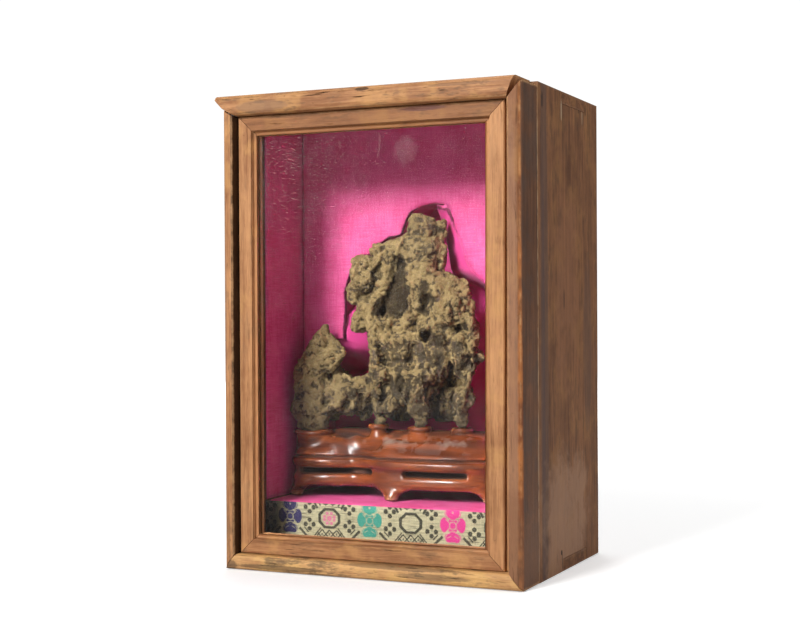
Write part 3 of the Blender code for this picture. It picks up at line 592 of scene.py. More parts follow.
CREAM = (0.41, 0.37, 0.225)
CREAM_SHADE = (0.22, 0.2, 0.12)
INK = (0.018, 0.016, 0.008)
NAVY = (0.012, 0.009, 0.07)
JADE = (0.022, 0.21, 0.155)
ROSE = (0.5, 0.012, 0.17)
# Millimetres from a motif to the next, to the first flower and up to the row, and a thread's blur.
PITCH = 28.7
FIRST_FLOWER = -74.2
ROW_HEIGHT = 29.8
BLUR = 0.3


def disc(u, v, cu, cv, radius, tall=1):
    return apart(u - cu, (v - cv) / tall).step(radius + BLUR, radius - BLUR)


def ringed(u, v, cu, cv, radius, width):
    far = (apart(u - cu, v - cv) - radius).size()
    return far.step(width / 2 + BLUR, width / 2 - BLUR)


def stroke(u, v, u0, v0, u1, v1, width):
    """A straight woven line between two points."""
    long = math.hypot(u1 - u0, v1 - v0)
    cu, cv = (u1 - u0) / long, (v1 - v0) / long
    along = (u - u0) * cu + (v - v0) * cv
    across = ((v - v0) * cu - (u - u0) * cv).size()
    past = (along - long / 2).size() - long / 2
    return across.most(past).step(width / 2 + BLUR, width / 2 - BLUR)


def joined(draw, u, v, *shapes):
    return functools.reduce(Finish.most, (draw(u, v, *shape) for shape in shapes))


def brocade():
    """Figured weave: a flower and an octagon by turns, every PITCH millimetres."""
    material, shader, here = new_finish("flowered_brocade")
    x, _, z = here.split()
    x = x * 1000 + (here.grain(520, 2) - 0.5) * 0.8
    z = z * 1000 + (here.moved(0.5, 0, 0).grain(520, 2) - 0.5) * 0.8
    place = (x - FIRST_FLOWER) / PITCH
    number = place.math("ROUND", place)
    u = (place - number) * PITCH
    v = z - ROW_HEIGHT
    odd = number.math("FRACT", number * 0.5 + 0.25).step(0.4, 0.6)
    au = u.size()
    av = v.size()
    # the flower: a cap, two broad sides and a foot, parted by pale lines, round a pale eye
    petals = joined(disc, au, v, (5.6, 0.4, 3, 1.55), (0, 7.4, 3.4), (0, -7.2, 3.2))
    petals = petals.most(disc(au, v, 0, 0, 3.6, 1.4)).most(disc(au, av, 2.6, 7.6, 2.9))
    lines = joined(ringed, au, v, (0, 8.4, 4.9, 0.55), (0, -8.4, 4.9, 0.55)) * au.step(5.8, 5)
    lines = lines.most(ringed(au, v, 0, 0, 2.3, 0.75)).most(disc(au, v, 0, 8.2, 0.7))
    lines = lines.most(stroke(au, av, 2.4, 1.6, 4.4, 3.8, 0.7))
    lines = lines.most(stroke(au, v, 1.4, -6.4, 3.4, -7.6, 0.5))
    # the octagon, with a small flower of eight petals in every other one
    eight = au.most(av * 1.2).most((au + av * 1.1) * 0.735)
    outline = (eight - 7).size().step(1.25, 0.75)
    hollow = (number - 3).size().step(0.4, 0.6)
    bud = joined(disc, au, av, (3.5, 1, 1.1), (1.5, 3.1, 1.1), (0, 0, 1.9))
    bud_line = ringed(au, av, 0, 0, 2, 0.5)
    # strokes above and a net of lozenges below the octagon, and slanting lines by the flower's foot
    strokes = joined(
        stroke, au, v, (9, 6.8, 12, 12, 1.6), (6.6, 8.4, 9.4, 12, 1.1), (0, 10.2, 2.6, 8.8, 1.1),
        (2.6, 8.8, 5.4, 10.2, 1.1),
    )
    lozenge = u.math("PINGPONG", u, 2.6) + (v + 10.2).size() * 0.95
    net = (lozenge - 2.6).size().step(0.75, 0.35).most(lozenge.step(0.95, 0.55) * 0.8)
    net = net * au.step(9.4, 8.8) * v.step(-6.9, -7.6)
    net = net.most(stroke(au, v, 6.4, -6.6, 11.6, -12.6, 0.8))
    foot = joined(stroke, au, v, (7.6, -7.6, 12.2, -12, 1.7), (10.6, -6.6, 13.2, -9.2, 0.9))
    # clusters of four dots between the motifs
    side = (au - PITCH / 2).size()
    dots = [
        joined(disc, side, (v - height).size(), (2.9, 0.1, 1.48), (0, 2.8, 1.48))
        for height in (6.6, -4.4)
    ]
    octagon = odd * outline.most(strokes).most(net)
    dark = dots[0].most(dots[1]).most(octagon).most((1 - odd) * foot)
    weft = here.stretched(0.05, 1, 1).grain(1700, 2, 0.6)
    warp = here.stretched(1, 1, 0.1).grain(1500, 2, 0.6)
    ground = (weft * 0.75 + warp * 0.25).step(0.36, 0.6).mix(CREAM_SHADE, CREAM)
    hair = here.stretched(0.045, 0, 1).grain(900, 1, 0.5).step(0.655, 0.7)
    thread = number.step(3.4, 3.6).mix(number.step(0.6, 0.4).mix(JADE, NAVY), ROSE)
    flower = (1 - odd) * petals * (1 - lines * 0.7)
    # painted shadow of the left post over the left end of the strip, dark and ragged
    shadowed_end = x.step(-78, -86.5) * here.grain(90, 3).step(0.2, 0.45)
    ground = layered(
        ground,
        (hair * 0.7, INK),
        (flower * (0.92 + weft * 0.08), thread),
        (odd * hollow * bud * (0.85 - bud_line * 0.4), (0.48, 0.1, 0.2)),
        (dark * (0.86 + weft * 0.14), INK),
        (shadowed_end * 0.78, (0.03, 0.04, 0.04)),
    )
    feed(
        shader, Base_Color=ground, Roughness=0.62, Specular_IOR_Level=0.25, Sheen_Weight=0.08,
        Sheen_Roughness=0.4, Normal=relief(weft + dark * 0.8 + flower * 0.8, 0.0003, 0.7),
    )
    return material


pasted_sheet("brocade_front", "brocade_strip", 1, 1, -1, brocade(), 33,
             back=0.0002, lap=0.0018)


# ---------------------------------------------------------------- the padded back
# A thick pad behind the rock, cut out to its outline. Its face is the plain silk drawn over
# wadding; the hollow is lined with glossier satin, loosely folded, whose lighter colour is partly
# painted light, and its frayed edge carries painted shade.

# The cut-out seen from the front, millimetres (x, z).
CUT_OUT = (
    (69.5, 30), (69.5, 92), (65, 98), (63, 112), (62, 132), (60, 150), (55, 166), (48, 177),
    (39, 184.5), (33, 190), (29.5, 197), (26, 208), (21, 219), (18.5, 226), (16, 230.2), (6, 231.6),
    (-3, 230.6), (-9, 228.4), (-13.3, 223), (-17, 213.5), (-26, 212), (-34, 207), (-38.5, 201),
    (-49, 199), (-55.5, 187), (-59, 176), (-58.5, 163), (-60, 150), (-60, 144), (-69, 143),
    (-77, 137), (-85, 127), (-95, 119), (-95, 30),
)


def outline_distance(x, z, points):
    """Signed distance to a closed outline in the plane, negative inside."""
    best = np.full(x.shape, 1e9)
    inside = np.zeros(x.shape, bool)
    for i, (ax, az) in enumerate(points):
        bx, bz = points[i - 1]
        ex, ez = bx - ax, bz - az
        t = np.clip(((x - ax) * ex + (z - az) * ez) / (ex * ex + ez * ez), 0, 1)
        best = np.minimum(best, np.hypot(x - ax - t * ex, z - az - t * ez))
        crosses = (az > z) != (bz > z)
        run = ez if abs(ez) > 1e-9 else 1e-9
        inside ^= crosses & (x < ax + (z - az) / run * ex)
    return np.where(inside, -best, best)


def soft_step(value, low, high):
    t = np.clip((value - low) / (high - low), 0, 1)
    return t * t * (3 - 2 * t)


def keep_values(thing, name, values):
    """Stores one number per point, for the material to read."""
    layer = thing.data.attributes.new(name, "FLOAT", "POINT")
    layer.data.foreach_set("value", np.asarray(values, float))


def pad_finish():
    material, shader, here = new_finish("pad_silk")
    warp, weft, slub, colour = woven(here)
    rim = here.kept("rim")
    satin_painted_lit = here.kept("satin_painted_lit")
    fray = here.grain(700, 3, 0.7)
    # painted shade along the cut edge of the hollow, ragged with the fray
    frayed_shaded_rim = (rim * 1.5 - 0.75 + fray).step(0.42, 0.75)
    stain = here.grain(40, 3, 0.6).step(0.6, 0.72)
    colour = layered(
        colour,
        # the satin lining, its colour raised above the silk's as painted light in the hollow
        (satin_painted_lit * 0.9, (0.92, 0.085, 0.36)),
        (frayed_shaded_rim * 0.85, (0.1, 0.012, 0.03)),
        (stain * 0.18, (0.3, 0.05, 0.09)),
    )
    height = warp.most(weft) * (1 - satin_painted_lit) + slub * 0.5 + frayed_shaded_rim * fray
    feed(
        shader, Base_Color=colour, Roughness=(0.58 - satin_painted_lit * 0.28 + frayed_shaded_rim * 0.25),
        Specular_IOR_Level=0.35, Sheen_Weight=0.2, Sheen_Roughness=0.4, Sheen_Tint=(1, 0.5, 0.72),
        Normal=relief(height, THREAD, 0.6),
    )
    return material


# Planes of the pad in y (mm): its face, where the hollow's wall starts, where it ends, the back.
FACE = 15
WALL_START = 16.5
WALL_END = 58.5
WALL_BACK = 62
PROBE = 0.5
pad = wrapped("silk_pad", "back_pad", pad_finish(), 0.0015, 4)
points = points_of(pad) / MM
x, y, z = points.T
off = outline_distance(x, z, CUT_OUT)
puff = 0.5 * (1 - np.exp(-np.maximum(off, 0) / 5))
gather = lattice_noise(points, 4, 41) * 0.35 * np.exp(-np.abs(off) / 3.5)
rise = gather - puff + 0.35 + lattice_noise(points, 16, 42) * 0.18
points[:, 1] += np.where(y < FACE, rise, 0)
inner = (y > WALL_START) & (off < 2.5) & (y < WALL_BACK)
fold = lattice_noise(points * np.array([1.0, 0.35, 1.0]), 6.5, 43)
fine = lattice_noise(points * np.array([1.0, 0.5, 1.0]), 3.0, 44)
depth = (0.9 + 1.2 * np.abs(fold) + 0.4 * fine) * soft_step(y, WALL_START, 20)
nx = outline_distance(x + PROBE, z, CUT_OUT) - outline_distance(x - PROBE, z, CUT_OUT)
nz = outline_distance(x, z + PROBE, CUT_OUT) - outline_distance(x, z - PROBE, CUT_OUT)
wall = inner & (y < WALL_END)
points[:, 0] += np.where(wall, nx * depth, 0)
points[:, 2] += np.where(wall, nz * depth, 0)
points[:, 1] += np.where(inner & (y >= WALL_END) & (off < -0.5), 0.8 + fold, 0)
steep = 1.1 + 2.6 * soft_step(z, 192, 172)
ramp = 15 + steep * np.maximum(-off - 0.3, 0) + 34 * soft_step(x, 10, -2)
points[:, 1] = np.where(inner & (z > 150), np.minimum(points[:, 1], ramp), points[:, 1])
shelf = 18.5 + np.maximum(-off - 0.3, 0) + 30 * soft_step(x, -44, -35)
shelf = shelf + 30 * soft_step(z, 160, 175) + 12 * soft_step(z, 138, 126) + 2 * fold
shelf = shelf + 26 * soft_step(z, 128, 116)
points[:, 1] = np.where(inner & (x < -33), np.minimum(points[:, 1], shelf), points[:, 1])
move_points(pad, points * MM)
wide = 1.5 * soft_step(lattice_noise(points, 9, 45), -0.2, 0.4) * soft_step(z, 150, 190)
# a band of painted shade along the cut edge, wider in places up high
shaded_rim_band = np.exp(-np.abs(off - 0.2) / (1.1 + wide)) * (1 - 0.4 * soft_step(x, 14, 24))
keep_values(pad, "rim", shaded_rim_band * (y < 19))
# where the satin lines the hollow: glossier cloth, and painted light in its colour
keep_values(pad, "satin_painted_lit", soft_step(y, 15.5, 17.5) * (off < 3))


# ---------------------------------------------------------------- the carved stand
# One piece of rosewood, pierced, undercut and polished: a lobed plinth in two tiers on scroll feet,
# whose top swells up into four sockets cut to the feet of the rock. Dust lies in its hollows.

# Outline seen from above, millimetres (x, y).
STAND_PLAN = (
    (-89.2, 14), (-88.8, 0), (-85.9, -9.5), (-77, -13.6), (-63, -13.6), (-51, -10), (-42.5, -6.8),
    (-33, -8), (-21, -12.6), (-5, -14.6), (14, -14.6), (31, -13), (43, -9), (54, -3), (63, 7),
    (67, 20), (65, 34), (56, 45), (40, 51), (20, 52), (2, 47.5), (-16, 45), (-36, 48.5),
    (-57, 51.5), (-76, 48), (-86.4, 38), (-89.4, 27),
)
# Profile of the edge: height and how far it stands back from the outline.
STAND_EDGE = (
    (47.2, 2.4), (47.8, 1), (50.4, -0.3), (53, -0.2), (55.4, 0.5), (57.6, 0.8), (59.6, 0.3),
    (61, -0.7), (62.8, -1.2), (64.6, -0.9), (65.6, 0), (66.3, 2.6), (67.3, 2.6), (67.9, 0.8),
    (69.2, 1.1), (72, 2.2),
)
# Rise of the top: depth in from the outline and height.
STAND_TOP = (
    (0.8, 68.2), (1.6, 69.3), (3, 70.3), (5, 71.8), (9.8, 76.4), (16.4, 81), (24, 83.6),
)
# Feet: place (x, y) and the way each faces, in degrees.
STAND_FEET = (
    (-84.5, -8, 220), (-12.5, -12.6, 268), (52.5, -2, 305), (57, 42, 45), (-6, 43.5, 90),
    (-80, 44, 130),
)
# A foot: height, half width, half depth and how far its middle stands out.
FOOT_STEPS = (
    (39.9, 3.4, 3.4, -0.6), (41, 4.6, 4.4, -0.2), (43.2, 5.4, 4.8, -0.8), (45.2, 7.8, 5.2, -2),
    (47, 11.8, 5.6, -3), (50.5, 13, 5.6, -4.2),
)
# Sockets: middle (x, y), half sizes, height of the rim, how far the foot spreads.
SOCKETS = (
    (-76, 0.5, 11.6, 9.5, 84, 0), (-30, 6, 5.2, 5.2, 88, 1), (-1.5, 9, 6.2, 5.6, 87, 1),
    (27.5, 12, 5.2, 5, 86.5, 1),
)
# Swellings between the sockets: middle (x, y), foot, half sizes and height.
SWELLS = (
    (-44, 1, 71, 8.5, 6, 9.5), (-15, -4, 69.5, 8, 6, 7.5), (12, 0, 71, 7.5, 6, 7.5),
    (41, 3, 70, 8, 6.5, 8), (-58, -2, 70, 9, 7, 9),
)
# Slots under the edge: the axis each is cut through, its ends along, its ends through.
STAND_SLOTS = (
    (1, -80, -28.5, -20, -2), (1, -4, 39, -20, -6), (0, 9, 33, 60, 74), (1, 6, 46, 42, 60),
    (1, -68, -18, 41, 60), (0, 8, 34, -98, -84),
)
# Millimetres: a slot's height and radius, the other heights, a cup's wall and depth.
SLOT_MIDDLE = (55.6 + 59.3) / 2
SLOT_RADIUS = (59.3 - 55.6) / 2
UNDERSIDE = 47.4
FLOOR_LEVEL = 39.95
FOOT_TOP = 51
COLLAR_FOOT = 64
CUP_WALL = 1.9
CUP_DEPTH = 3.4


def smooth_loop(points, count):
    """A closed Catmull-Rom curve through the points."""
    size = len(points)
    loop = []
    for i in range(count):
        t = i * size / count
        k = int(t)
        f = t - k
        p0, p1, p2, p3 = (Vector(points[(k + n) % size]) for n in (-1, 0, 1, 2))
        a = p1 * 2
        b = p2 - p0
        c = p0 * 2 - p1 * 5 + p2 * 4 - p3
        d = p1 * 3 - p0 - p2 * 3 + p3
        loop.append(tuple((a + b * f + c * f * f + d * f * f * f) / 2))
    return loop


def blend(a, b, width):
    """Union of two distances with a fillet of about the width."""
    h = np.clip(width - np.abs(a - b), 0, None) / width
    return np.minimum(a, b) - h * h * width / 4


def carve(a, b, width):
    """Cuts the second shape out of the first."""
    return -blend(-a, b, width)


def tube(u, v, wide, deep, scale):
    """Near the surface of an upright elliptic tube, the distance to it."""
    return (np.hypot(u / wide, v / deep) - 1) * scale


def surface_of(field, start, step):
    """Surface of a sampled field: one point per crossed cell, one quad per crossed edge."""
    cells = tuple(n - 1 for n in field.shape)
    total = np.zeros(cells + (3,))
    count = np.zeros(cells)
    quads = []
    for axis, size in enumerate(cells):
        low, high = (np.take(field, range(n, size + n), axis) for n in (0, 1))
        where = np.nonzero((low < 0) != (high < 0))
        point = np.stack(where, axis=1).astype(float)
        point[:, axis] += low[where] / (low[where] - high[where])
        around = []
        for du, dv in ((-1, -1), (0, -1), (0, 0), (-1, 0)):
            shift = np.insert([du, dv], axis, 0)
            cell = tuple(n + s for n, s in zip(where, shift))
            around.append(cell)
            np.add.at(total, cell, point)
            np.add.at(count, cell, 1)
        quads.append((around, (low[where] < 0) ^ (axis == 1)))
    used = np.nonzero(count)
    number = np.full(cells, -1)
    number[used] = np.arange(len(used[0]))
    faces = []
    for around, flip in quads:
        ids = np.stack([number[cell] for cell in around], axis=1)
        faces.append(np.where(flip[:, None], ids, ids[:, ::-1]))
    return total[used] / count[used][:, None] * step + start, np.vstack(faces)


def largest_shell(mesh):
    """Keeps the outer body alone."""
    bm = bmesh.new()
    bm.from_mesh(mesh)
    left = set(bm.faces)
    shells = []
    while left:
        shell, front = set(), {left.pop()}
        while front:
            shell |= front
            edges = {edge for face in front for edge in face.edges}
            front = {face for edge in edges for face in edge.link_faces} - shell
        left -= shell
        shells.append(list(shell))
    for loose in sorted(shells, key=len)[:-1]:
        bmesh.ops.delete(bm, geom=loose, context="FACES")
    bmesh.ops.delete(bm, geom=[v for v in bm.verts if not v.link_faces], context="VERTS")
    bm.to_mesh(mesh)
    bm.free()


def stand_field(x, y, z):
    """Distance to the stand's surface in millimetres, negative inside."""
    loop = smooth_loop(STAND_PLAN, 81)
    plan = outline_distance(x[:, :, 0], y[:, :, 0], loop)[:, :, None]
    body = plan + np.interp(z[0, 0], *zip(*STAND_EDGE))
    rise = np.interp(-plan, *zip(*STAND_TOP))
    place = np.stack([x, y, z], axis=-1)
    top = (z - rise) * 0.85 + lattice_noise(place[:, :, :1], 8.5, 51) * 0.5
    body = carve(body, -top, 1.6)
    body = carve(body, z - UNDERSIDE, 0.8)
    for cx, cy, foot, rx, ry, height in SWELLS:
        r = np.sqrt(((x - cx) / rx) ** 2 + ((y - cy) / ry) ** 2 + ((z - foot) / height) ** 2)
        body = blend(body, (r - 1) * min(rx, ry), 5)
    for cx, cy, rx, ry, rim, spread in SOCKETS:
        out = np.interp(
            z,
            [70, 76, 80, rim - CUP_DEPTH, rim - 1.8],
            [0.6 + 7 * spread, 0.6 + 3 * spread, 0.4 + 0.6 * spread, 0.2 - 0.4 * spread, 0.7],
        )
        wall = tube(x - cx, y - cy, rx + out, ry + out, min(rx, ry))
        turn = np.arctan2(y - cy, x - cx)
        lip = rim - 1.3 - 0.35 * (1 + np.sin(3 * turn + cx)) * (1.6 if spread == 0 else 0.8)
        collar = np.maximum(np.maximum(wall, z - lip), COLLAR_FOOT - z)
        body = blend(body, collar, 3.2)
        edge = tube(x - cx, y - cy, rx, ry, min(rx, ry))
        body = blend(body, np.hypot(edge - 0.3, z - lip) - 1.75, 0.9)
        cup = tube(x - cx, y - cy, rx - CUP_WALL, ry - CUP_WALL, min(rx, ry) - CUP_WALL)
        body = carve(body, np.maximum(cup, rim - CUP_DEPTH - z), 0.8)
    for fx, fy, facing in STAND_FEET:
        dx, dy = math.cos(math.radians(facing)), math.sin(math.radians(facing))
        levels, *sides = zip(*FOOT_STEPS)
        wide, deep, out = (np.interp(z, levels, side) for side in sides)
        u = (y - fy) * dx - (x - fx) * dy
        v = (x - fx) * dx + (y - fy) * dy - out
        foot = tube(u, v, wide, deep, np.minimum(wide, deep))
        foot = np.maximum(np.maximum(foot, FLOOR_LEVEL - z), z - FOOT_TOP)
        body = blend(body, foot, 1.6)
    for axis, along0, along1, through0, through1 in STAND_SLOTS:
        along, through = (x, y) if axis == 1 else (y, x)
        reach = np.clip(along, along0 + SLOT_RADIUS, along1 - SLOT_RADIUS)
        slot = np.hypot(along - reach, z - SLOT_MIDDLE) - SLOT_RADIUS
        slot = np.maximum(slot, np.maximum(through0 - through, through - through1))
        body = carve(body, slot, 1.6)
    return body


def polished_rosewood():
    material, shader, here = new_finish("polished_rosewood")
    shade = here.kept("shade")
    flow = here.stretched(0.08, 1, 1)
    figure = flow.grain(170, 3, 0.6, 0.6)
    fibre = flow.grain(1100, 2, 0.6)
    tone = figure * 0.7 + fibre * 0.3
    colour = tone.step(0.3, 0.7).mix((0.062, 0.014, 0.005), (0.29, 0.068, 0.013))
    patch = here.grain(34, 2, 0.5).step(0.42, 0.62)
    upward = here.node("NewGeometry", None, None, 1).split()[2]
    z = here.split()[2]
    dust = upward.step(0.55, 0.95) * z.step(0.07, 0.0735) * z.step(0.0815, 0.0785)
    dust = dust * here.grain(80, 4, 0.6).step(0.5, 0.64)
    dust = dust * (0.55 + here.grain(1600, 2).step(0.4, 0.62) * 0.45)
    worn = z.step(0.0445, 0.0405) * here.grain(200, 2).step(0.3, 0.5)
    colour = layered(
        colour,
        (patch * 0.45, (0.055, 0.012, 0.006)),
        (dust * 0.9, (0.3, 0.25, 0.205)),
        (worn * 0.7 * (1 - shade), (0.36, 0.22, 0.12)),
        (shade * 0.93, (0.01, 0.004, 0.003)),
    )
    feed(
        shader, Base_Color=colour, Roughness=(0.24 + dust * 0.6 + fibre * 0.05 + shade * 0.7),
        Specular_IOR_Level=0.4, Coat_Weight=(0.5 - (dust * 0.5).most(shade * 0.5)),
        Coat_Roughness=0.15, Normal=relief(fibre + figure * 0.5, 0.0001, 0.5),
    )
    return material


stride = np.array([0.9, 0.9, 0.5])
start = np.array([-94.0, -21.0, 38.0])
axes = [start[n] + stride[n] * np.arange(size) for n, size in enumerate((185, 88, 106))]
x, y, z = np.meshgrid(*axes, indexing="ij")
verts, faces = surface_of(stand_field(x, y, z), start, stride)
carving = shell("carved_stand", (verts * MM).tolist(), faces.tolist())
seated(carving, polished_rosewood(), "stand")
largest_shell(carving.data)
reworked(carving, "SMOOTH", factor=0.5, iterations=2)
points = points_of(carving) / MM
x, y, z = points.T
back_from_edge = -outline_distance(x, y, smooth_loop(STAND_PLAN, 216))
# painted shade: deep places, the two grooves round the edge, and the places between the sockets
# under the rock
upper = np.exp(-(((z - 66.8) / 0.55) ** 2)) * soft_step(back_from_edge, 4.5, 3)
lower = 0.6 * np.exp(-(((z - 57.4) / 2) ** 2)) * soft_step(back_from_edge, 0.8, 1.4)
ragged = 0.25 * lattice_noise(points, 5, 58)
beside = np.minimum.reduce([
    np.hypot((x - bx) / wide, (y - by) / 8) + ragged
    for bx, by, wide in ((-51, 6, 12), (-14.5, 8, 7), (13, 11, 9), (-88, 2, 5))
])
shade = np.maximum.reduce([
    soft_step(back_from_edge, 3.4, 6) * soft_step(z, 64.5, 61),
    soft_step(y, 6, 12) * soft_step(z, 60, 56),
    0.9 * soft_step(y, 7, 17) * soft_step(z, 67, 69),
    0.9 * soft_step(beside, 1.25, 0.6) * soft_step(z, 84, 80) * soft_step(z, 68.5, 71),
    np.maximum(upper, lower) * 0.9,
])
keep_values(carving, "shade", np.clip(shade, 0, 1))


# ---------------------------------------------------------------- the rock
# One natural limestone, worn by water into limbs, holes and folded skin, set with its feet in the
# stand's sockets. It is dull tan and grey, dusty on what faces up and dark in its pits, with
# painted shade in its shut-in places, cleft and hollows.

# Limbs of the rock, millimetres: one end (x, y, z) and its radius, then the other.
LIMBS = (
    # peak and spine
    (-1, 11, 220, 9, 2, 12, 202, 12), (-5, 8, 223, 5.4, -9, 8, 212, 6.6),
    (4, 11, 221, 5.5, 6, 13, 210, 7), (2, 12, 202, 12, 3, 13, 172, 14),
    # right of the peak
    (13, 15, 216, 4.4, 10, 15, 211, 4), (12, 14, 203, 5.5, 12, 15, 193, 5),
    # shoulder and left crest
    (-12, 8, 206, 7.5, -20, 8, 205, 6.5), (-20, 8, 205, 6.5, -26, 7, 200, 6.5),
    # left lobe
    (-38, 7, 194, 8.4, -43, 7, 183, 9.2), (-44, 7, 183, 8.8, -48, 7, 173, 7.6),
    (-42, 8, 164, 9, -43, 8, 154, 6.4),
    # edges, boss, strip and sill of the cleft
    (-20, 5, 198, 4.8, -24, 4, 179, 5.2), (-24, 4, 179, 5.2, -34, 4, 163, 5),
    (-34, 5, 163, 5.5, -33, 6, 147, 6), (-8, 5, 198, 6, -9, 5, 186, 5.5),
    (-5, 3, 186, 6, -7, 3, 182, 5), (-2, 4, 177, 4.2, -5, 4, 157, 4.6),
    (-27, 6, 153, 6, -13, 6, 154, 6),
    # right block
    (13, 9, 185, 4.6, 14, 9, 177, 7), (22, 11, 183, 4.6, 22, 10, 176, 7),
    (30, 13, 177, 4, 29, 11, 169, 7), (31, 12, 167, 5.5, 32, 11, 156, 6),
    # left leg, its boss and loop
    (-32, 5, 148, 5, -32, 5, 121, 4.8), (-32, 5, 121, 4.8, -30, 6, 86, 3.9),
    (-26, 3, 120, 6.4, -24, 4, 125, 5.6), (-30, 6, 101, 4.2, -19, 4, 99, 5),
    # web
    (3, 6, 123, 8, -9, 5, 112, 8.4), (-9, 5, 112, 8.4, -20, 5, 101, 6),
    # middle leg
    (-2, 7, 119, 8.5, -1, 8, 101, 6.4), (-1, 8, 101, 6.4, -1.5, 9, 85, 4.8),
    # right column and its spur
    (34, 9, 147, 6.6, 34, 9, 140, 6.2), (33, 10, 138, 5.2, 32, 11, 117, 5),
    (36, 10, 133, 4, 40, 12, 133, 3.4),
    # right foot
    (32, 10, 107, 7.8, 26, 9, 104, 8.4), (36, 11, 104, 6, 33, 11, 99, 6),
    (27, 11, 102, 7, 27.5, 12, 84, 4),
    # fins in the hollow
    (27, 8, 143, 6, 26, 8, 121, 3.4), (18, 5, 140, 3.8, 18, 6, 126, 2.8),
    # bridge and its crest
    (-68, 3, 109, 10, -51, 6, 109, 9), (-51, 6, 109, 9, -38, 7, 110, 7.5),
    (-60, 6, 121, 4, -51, 7, 118, 4.4), (-51, 7, 116, 5, -39, 7, 115, 4.6),
    # under the bridge
    (-52, -1, 113, 6, -56, -2, 104, 6), (-57, -1, 102, 5.2, -53, 0, 96, 4.4),
    (-43, 0, 109, 4.2, -47, 1, 100, 4.2),
    # small peak
    (-68, 1, 152, 3.6, -71, 1, 140, 7.4), (-71, 1, 140, 7.4, -75, 0, 122, 11),
    (-75, 0, 122, 11, -77, -1, 101, 12.4), (-60, 2, 136, 5.4, -64, 2, 128, 6.5),
    (-81, -2, 96, 8.4, -79, -1, 88, 8.4), (-69, 0, 97, 8.4, -73, 0, 88, 8),
)

# Broad masses of the rock, front ones first: middle (x, y, z), half sizes.
MASSES = (
    (-37, 14, 181, 14, 12, 22), (-24, 26, 174, 18, 12, 30), (19, 13, 168, 15, 14, 20),
    (-17, 14, 141, 21, 14, 17), (9, 14, 145, 19, 14, 17), (-14, 13, 120, 20, 12, 18),
    (2, 14, 124, 14, 12, 16), (-52, 10, 106, 16, 11, 13), (-46, 17, 105, 12, 9, 14),
    (9, 33, 113, 20, 10, 28), (-6, 34, 150, 28, 14, 34), (3, 26, 192, 14, 12, 28),
    (32, 28, 142, 13, 13, 30), (-20, 30, 108, 34, 13, 20), (-72, 20, 108, 15, 12, 20),
)

# Holes and hollows, given like the limbs.
HOLLOWS = (
    # slot beside the block
    (11, -12, 176, 3, 11, -12, 164, 4.2), (5, 2, 174, 2.4, 5, 4, 164, 3.2),
    # round hole
    (12, -12, 147, 3.8, 3, 12, 147, 3.6),
    # cleft
    (-13, -6, 196, 5, -15, -5, 188, 6.6), (-15, -5, 188, 6.6, -18, -5, 170, 8.4),
    (-18, -5, 170, 8.2, -20, -5, 163, 8),
    # over the hollow
    (16, -3, 147, 3.4, 16, -1, 123, 4.4),
    # window under the web
    (-19, -6, 112, 4.6, -14, -6, 116, 4.4),
    # large hollow
    (20, -6, 134, 3.4, 20, -3, 124, 5.6), (20, -3, 124, 7, 14, 0, 108, 9.2),
    (14, 0, 108, 9, 14, 2, 88, 9),
    # beside the column and under the web
    (30, -6, 138, 2.6, 27, -4, 118, 3.2), (-17, 2, 91, 6, -14, 10, 91, 6),
    # furrow in the small peak
    (-62, -14, 122, 2.6, -64, -13, 104, 3.4),
)

# Smaller forms over the limbs, and smaller hollows cut after them.
FINE_LIMBS = (
    # small peak
    (-68, 1, 149, 3.6, -60, 2, 136, 5.6), (-66, 2, 138, 7, -64, 2, 130, 7),
    # left tip and spike
    (-43, 5, 159, 4.6, -49.6, 3, 150.6, 0.9), (-60, 4, 136, 3.2, -55.6, 3, 142.6, 0.7),
    # rib down the left leg
    (-29, -1, 152, 1.7, -28, 0, 96, 1.5),
    # strand down the right side
    (38, 3, 158, 2.2, 39, 4, 128, 1.6), (39, 4, 128, 1.6, 33, 3, 108, 1.9),
    # knob and curls
    (13, 13, 218.5, 3.9, 11, 14, 214, 3.6), (-28, 4, 202, 5, -27, 4, 199, 5),
    (-42, 4, 196, 5, -42, 4, 193, 5),
    # wall behind the cleft
    (-17, 13, 192, 6, -18, 13, 166, 9),
)
FINE_HOLLOWS = (
    # beside the strip
    (6.4, -4, 180, 3, 8.4, -3, 169, 5.4), (8.4, -3, 169, 5.2, 3, -3, 163, 4.4),
    # cavity over the foot
    (23, -5, 121, 7.4, 18, -1, 111, 10.4), (17, -3, 110, 9, 15, 0, 92, 9),
    # under the web
    (-19, -5, 110, 5.8, -12.5, -2, 114, 7),
    # grooves round the hole
    (19.5, -10, 153, 1.8, 19.5, -8, 138, 2.8), (1, -12, 152, 1.4, 0.5, -10, 136, 2.4),
    (-7, -12, 146, 1.5, -4, -9, 130, 2.6),
    # depth of the cavity
    (22, 4, 117, 6, 17.5, 7, 99, 7.6), (8.5, -10, 112, 2.6, 9.5, -6, 96, 4.2),
    # gaps under the bridge and by the leg
    (-61, -4, 90, 4.6, -37, 0, 92, 6.4), (-40, -6, 100, 3, -37, -4, 93, 4.4),
    # notch under the cleft
    (-21, -8, 150, 2.2, -17, -6, 147, 3),
    # slot in the right side
    (34.5, -8, 150, 2, 33, -4, 126, 3),
    # under the peak
    (22, 6, 205, 4, 21, 6, 190, 4.6), (11, -3, 193, 2.6, 15, -1, 187, 4.2),
    # crease of the left lobe
    (-19.5, -8, 196, 1.8, -24.5, -7, 178, 2.2),
    # behind the boss and by the small peak
    (-44, -8, 112, 2.8, -38, -8, 104, 4.6), (-57, -8, 126, 2.6, -58, -8, 116, 3.4),
)
